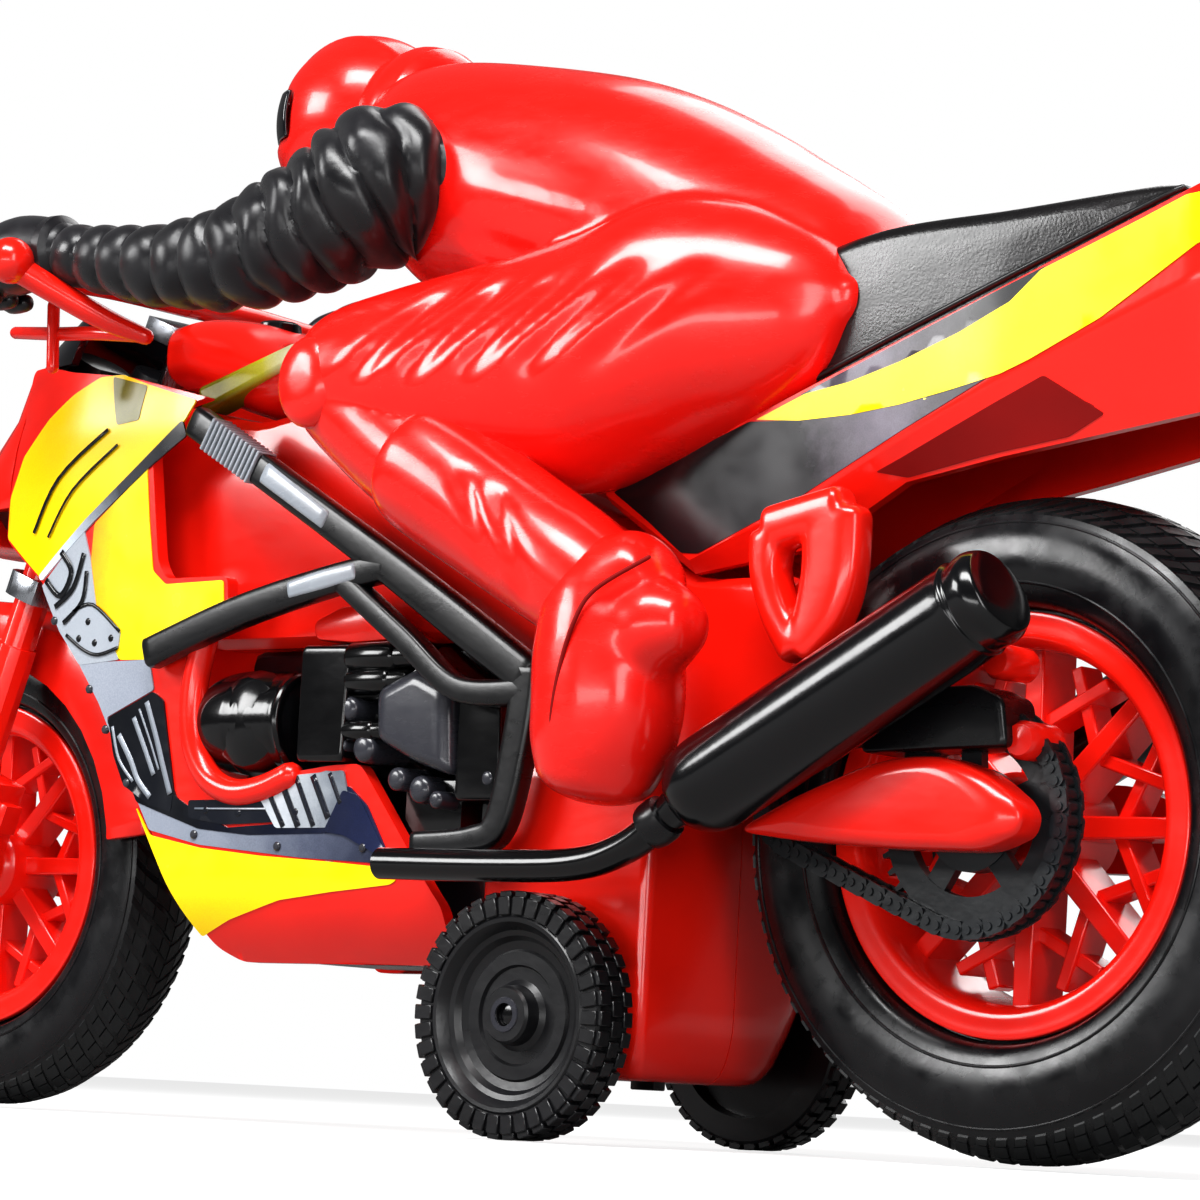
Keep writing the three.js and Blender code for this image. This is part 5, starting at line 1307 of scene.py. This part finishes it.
def engine(word, side):
    """The moulded engine's covers, on the plain CAD block."""
    y, z = ENGINE_CAN
    course = spline([(112.6, 5.6), (113.2, 7), (118, 7.3), (124, 7.3), (128, 6.5), (130.6, 4.4),
                     (131.8, 1.6)], 7)
    rings = []
    for x, radius in course:
        rib = 0.32 * abs(math.sin(math.pi * (x - 113.2) / 1.5)) if 113.2 < x < 122.2 else 0
        rings.append([(x, side * y + (radius - rib) * math.cos(t), z + (radius - rib) * math.sin(t))
                      for t in around(64)])
    covers = Build().add(*skin(domed(rings, 3, 0.2)))
    covers.add(*pillow(softened([(109.4, 49.4), (109.4, 65.4), (100.4, 65.2), (100.8, 49.4)], 0.8), 8, 21,
                       0.8, side, 0.1))
    covers.add(*pillow(softened([(80.4, 44), (80.4, 60.6), (73, 57), (72.4, 44)], 0.8), 10, 20.6, 0.8, side,
                       0.1))
    for x0, x1, height, radius in ((89, 100.6, 63.6, 1.7), (90.4, 100.6, 60.4, 1.5), (94, 101, 53.6, 1.3)):
        for end, r in ((x0, radius), (lerp(0.34, x0, x1), radius * 1.25)):
            rod = [(end, side * 19.4, height, r), (lerp(0.5, end, x1), side * 19.4, height, r),
                   (x1, side * 19.4, height, r)]
            covers.add(*tube(rod, 24, 3, 0.5))
    covers.make(f"engine_covers_{word}", BLACK, "chassis", "black_gloss", 40)
    grey = Build().add(*pillow(softened(GREY_COVER, 1.4), 12, 22, 1.8, side, 0.35, 8))
    for x, height, radius in ((100.6, 56.6, 1.7), (97.4, 51.2, 2), (101.8, 51.6, 1.3), (91, 47, 1.6),
                              (86.8, 45.6, 1.9), (83.6, 44.2, 1.2), (74.6, 47, 1.1)):
        knob = [(x + radius * math.cos(t), height + radius * math.sin(t)) for t in around(24)]
        grey.add(*pillow(knob, 12, 20.8, radius * 0.5, side, 0.7))
    grey.make(f"engine_knobs_{word}", DARK_GREY, "chassis", "black_satin", 40)
    Build().add(*pillow(softened(RED_PANEL, 1), 10, 19.6, 0.8, side, 0.1)).make(
        f"engine_panel_{word}", RED, "chassis", "red_gloss", 40)
    Build().add(*pillow(softened(INNER_WALL, 2), 4, 9.4, 0.8, side, 0.05)).make(
        f"fairing_lining_{word}", RED, "chassis", "red_gloss", 40)


SWINGARM = [(31.4, 40), (21.6, 44.5), (11, 48.2), (5, 49.2), (-0.9, 49.1), (-6.9, 46.9), (-11.2, 43.8),
            (-12.3, 42), (-11.6, 39.7), (-6.7, 37.7), (5.9, 37.9), (21.2, 38.8)]


def rear_covers(word, side):
    arm = pillow(softened(SWINGARM, 3), 18.4, 24, 1.9, side, 0.36, 8)
    made = Build().add(*arm).make(f"swingarm_cover_{word}", RED, "chassis", "red_gloss", 60)
    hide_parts(f"swingarm_{word}")


HANGER_STRAPS = [[(29.6, 77.4, 5.4), (29.6, 72.4, 4.6), (27.4, 67, 4.6), (24.4, 62.8, 5)],
                 [(19.6, 79.6, 9.4), (19.6, 72.4, 9), (21, 67, 8), (23.6, 62.8, 5.4)],
                 [(29.4, 78.2, 6), (24.6, 79.2, 6), (18.6, 80.4, 6)]]
HANGER_Y = (16.8, 22.4)


def hanger(word, side):
    """The cast bracket between the body and the silencer, open in the middle."""
    made = Build()
    for path in HANGER_STRAPS:
        made.add(*on_side(strap(path, *HANGER_Y, 8, 3), side))
    bracket = made.make(f"hanger_bracket_{word}", RED, "chassis", "red_gloss", 60)
    grown_together(bracket, 0.35, 14)
    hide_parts(f"hanger_{word}")


def pod(word, side):
    """Half of the gearbox housing. Its right half is cut away more at the lower rear corner."""
    front, rear, half, steps = 77, 47.7, 19, 8
    rings = []
    for z, inset in ((49.6, 0.9), (49, 0.2), (47, 0), (36, 0), (28, 0), (22, 0), (18, 0), (15.4, 0.15),
                     (13.4, 0.7), (11.4, 1.7), (9.8, 3.1), (8.9, 4.7), (8.5, 6.4)):
        corner = 1.6 if side > 0 else ramp(z, 14, 12, 26, 3)
        x1 = ramp(z, 36, front, 49.6, front - 3) - inset
        x0, y1, soft = rear + inset * 0.6, half - inset * 0.6, 3
        ring = [(x1, 0.1), (x1, 0.4 * y1)]
        for cx, cy, radius, start in ((x1 - soft, y1 - soft, soft, 0),
                                      (x0 + corner, y1 - corner, corner, math.pi / 2)):
            ring += [(cx + radius * math.cos(start + math.pi / 2 * k / steps),
                      cy + radius * math.sin(start + math.pi / 2 * k / steps)) for k in range(steps + 1)]
        ring += [(x0, 0.4 * (y1 - corner)), (x0, 0.1)]
        rings.append([(x, side * y, z) for x, y in ring])
    made = Build().add(*skin(rings)).make(f"pod_shell_{word}", RED, "chassis", "red_gloss", 36)
    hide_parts(f"pod_{word}")


for word, side in SIDES:
    engine(word, side)
    rear_covers(word, side)
    hanger(word, side)
    pod(word, side)


PIPE_Y = 27.8


def silencer(word, side):
    """Silencer, exhaust pipe and the collar between them."""
    front, back = Vector((35.5, 0, 43.2)), Vector((-11.5, 0, 68.4))
    length = (back - front).length
    radius = 6.3
    profile = spline([(0.3, 0), (3.2, 0), (4.6, 1), (5.6, 2.6), (6.15, 4.6), (radius, 7)], 4)
    profile += [(radius, length * 0.3), (radius, length * 0.6), (radius, length - 6.4)]
    profile += spline([(radius, length - 5.4), (radius + 0.05, length - 4.7), (radius - 0.35, length - 4.3),
                       (radius - 0.3, length - 3.8), (radius - 0.1, length - 2), (radius - 0.7, length - 0.5),
                       (5, length - 0.1), (3.2, length + 0.15), (0.3, length + 0.2)], 3)
    run = (back - front).normalized()
    up = Vector((0, 1, 0)).cross(run).normalized()
    rings = []
    for r, along in profile:
        rings.append([front + Vector((0, PIPE_Y * side, 0)) + run * along + up * (r * math.cos(t)) +
                      Vector((0, r * math.sin(t), 0)) for t in around(72)])
    made = Build().add(*skin(rings)).make(f"silencer_can_{word}", BLACK, "chassis", "black_gloss", 34)
    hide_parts(f"silencer_{word}")
    pipe = spline([(86, PIPE_Y * side, 35.2, 2.1), (66, PIPE_Y * side, 35, 2.1),
                   (52, PIPE_Y * side, 35.4, 2.1), (44, PIPE_Y * side, 37.6, 2.1),
                   (38, PIPE_Y * side, 41.4, 2.3), (35.2, PIPE_Y * side, 43.4, 2.8)], 10)
    made = Build().add(*skin(tube_rings(pipe, 32))).make(f"pipe_{word}", BLACK, "chassis", "black_gloss", 40)
    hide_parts(f"exhaust_pipe_{word}")
    collar = [(40.6, PIPE_Y * side, 39.9, 2.9), (39.9, PIPE_Y * side, 40.3, 3.1),
              (38.6, PIPE_Y * side, 41.1, 3.1), (37.9, PIPE_Y * side, 41.6, 2.9)]
    Build().add(*tube(collar, 32, 2, 0.1)).make(f"pipe_collar_{word}", SATIN, "chassis", "black_satin")


for word, side in SIDES:
    side_frame(word, side)
    silencer(word, side)


# ---- Handlebar ----
def steered(x, y, z):
    """A point written about the front axle, before the steering is raked back."""
    c, s = math.cos(RAKE), math.sin(RAKE)
    return (FRONT_AXLE[0] + x * c - z * s, y, FRONT_AXLE[1] + x * s + z * c)


BAR_END, BALL_RADIUS = (150, 42, 118.2), 3.3
BAR = [(2.6, 0, 88.5, 1.8), (3.2, 14, 88.5, 1.8), (2.8, 27, 88, 1.8), (0, 36, 88, 1.8)]
LEVER = [(3, 23.5, 87.5, 1), (8, 25, 85.5, 1.05), (9.5, 33, 84.5, 0.95), (8.5, 43, 84.1, 0.9)]
RODS = [[(170, 22, 112.6, 0.9), (155, 27, 110.6, 1), (146, 28.5, 109.8, 1), (137, 28, 108.8, 0.9)],
        [(155.8, 28, 114.6, 0.9), (155.2, 28, 105.6, 0.9)],
        [(150, 41.4, 117.6, 2), (145.4, 37, 114.2, 1.8), (140.6, 32, 110.8, 1.6), (136.6, 28, 108.8, 1.2)]]


def handlebar():
    bar = Build()
    end_x, end_y, end_z = BAR_END
    for side in (1, -1):
        course = [steered(x, y * side, z) + (r,) for x, y, z, r in BAR]
        course = spline(course + [(end_x, end_y * side, end_z, 1.7)], 8)
        bar.add(*skin(tube_rings(course, 28, (0, 0, 1))))
        lever = spline([(x, y * side, z, r) for x, y, z, r in LEVER], 8)
        course = [steered(x, y, z) + (r,) for x, y, z, r in lever]
        bar.add(*skin(domed(tube_rings(course, 20, (0, 0, 1)), 4, 1)))
        centre = Vector((end_x, end_y * side, end_z))
        rings = []
        for a in (math.pi * k / 24 for k in range(1, 24)):
            size, y = BALL_RADIUS * math.sin(a), BALL_RADIUS * math.cos(a) * side
            rings.append([centre + Vector((size * math.cos(t), y, size * math.sin(t))) for t in around(40)])
        bar.add(*skin(rings))
        for rod in RODS:
            bar.add(*tube(spline(rod, 6), 20, 3, 1, side))
    made = bar.make("handlebar_tube", RED, "steering", "red_suit", 50)
    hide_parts("handlebar")


handlebar()


# ---- Stage, light and camera ----
FLOOR_GLOW = 0.8
WORLD_DIM = 0.12
FLOOR_HALF = 6
LAMPS = [  # name, place, aim, width, height, power
    ("key", (-0.15, 0.55, 0.85), (0, 0, 0.08), 0.7, 0.3, 14),
    ("side", (-0.95, 0.6, 0.3), (0, 0, 0.06), 0.25, 0.7, 4),
    ("front", (0.72, 0.9, 0.5), (0, 0, 0.05), 0.5, 0.4, 10),
    ("back", (0.1, -0.7, 0.7), (0, 0, 0.08), 0.7, 0.7, 5),
    ("low", (-0.3, 0.9, 0.06), (0, 0, 0.03), 0.8, 0.1, 2)]
VIEW_AZIMUTH, VIEW_ELEVATION, VIEW_ROLL = (math.radians(a) for a in (40.3, -6.26, 3.03))
VIEW_CENTRE, VIEW_DISTANCE, LENS = (-0.01325, 0, 0.07298), 0.61589, 136.57


def plain(name, colour, rough):
    look, tree, shader = new_look(name)
    tone = mix(tree, spread(tree, noise_of(tree, coords(tree), 6, 3), 0, 0.15), colour,
               [c * 0.97 for c in colour[:3]] + [1])
    tree.links.new(tone, shader.inputs["Base Color"])
    shader.inputs["Roughness"].default_value = rough
    shader.inputs["Specular IOR Level"].default_value = 0
    shader.inputs["Emission Color"].default_value = (1, 1, 1, 1)
    seen = node(tree, "ShaderNodeLightPath").outputs["Is Camera Ray"]
    tree.links.new(spread(tree, seen, 0, FLOOR_GLOW, 0, 1), shader.inputs["Emission Strength"])
    return look


def floor():
    mesh = bpy.data.meshes.new("floor")
    corners = [(x * FLOOR_HALF, y * FLOOR_HALF, 0) for x, y in ((-1, -1), (1, -1), (1, 1), (-1, 1))]
    mesh.from_pydata(corners, [], [[0, 1, 2, 3]])
    mesh.materials.append(plain("floor_white", (0.3, 0.3, 0.3, 1), 1))
    made = bpy.data.objects.new("floor", mesh)
    bpy.context.scene.collection.objects.link(made)


def lamp(name, place, aim, wide, high, power):
    data = bpy.data.lights.new(name, "AREA")
    data.shape = "RECTANGLE"
    data.size, data.size_y = wide, high
    data.energy = power
    made = bpy.data.objects.new(name, data)
    made.location = place
    made.rotation_euler = (Vector(aim) - Vector(place)).to_track_quat("-Z", "Y").to_euler()
    bpy.context.scene.collection.objects.link(made)


def world():
    """White to the camera and dim to everything else, so that black plastic stays black."""
    made = bpy.data.worlds.new("studio")
    bpy.context.scene.world = made
    made.use_nodes = True
    tree = made.node_tree
    seen = node(tree, "ShaderNodeLightPath").outputs["Is Camera Ray"]
    back = tree.nodes["Background"]
    back.inputs["Color"].default_value = (1, 1, 1, 1)
    tree.links.new(spread(tree, seen, WORLD_DIM, 1, 0, 1), back.inputs["Strength"])


def camera():
    az, el, roll = VIEW_AZIMUTH, VIEW_ELEVATION, VIEW_ROLL
    back = Vector((-math.sin(az) * math.cos(el), math.cos(az) * math.cos(el), math.sin(el)))
    right = (-back).cross(Vector((0, 0, 1))).normalized()
    up = right.cross(-back)
    c, s = math.cos(roll), math.sin(roll)
    right, up = right * c + up * s, up * c - right * s
    data = bpy.data.cameras.new("camera")
    data.lens, data.sensor_width = LENS, 36
    data.clip_start, data.clip_end = 0.01, 50
    made = bpy.data.objects.new("camera", data)
    spin = Matrix((right, up, back)).transposed().to_4x4()
    spin.translation = Vector(VIEW_CENTRE) + back * VIEW_DISTANCE
    made.matrix_world = spin
    bpy.context.scene.collection.objects.link(made)
    bpy.context.scene.camera = made


floor()
world()
for values in LAMPS:
    lamp(*values)
camera()
bpy.context.scene.view_settings.view_transform = "Standard"
bpy.context.scene.view_settings.gamma = 0.86
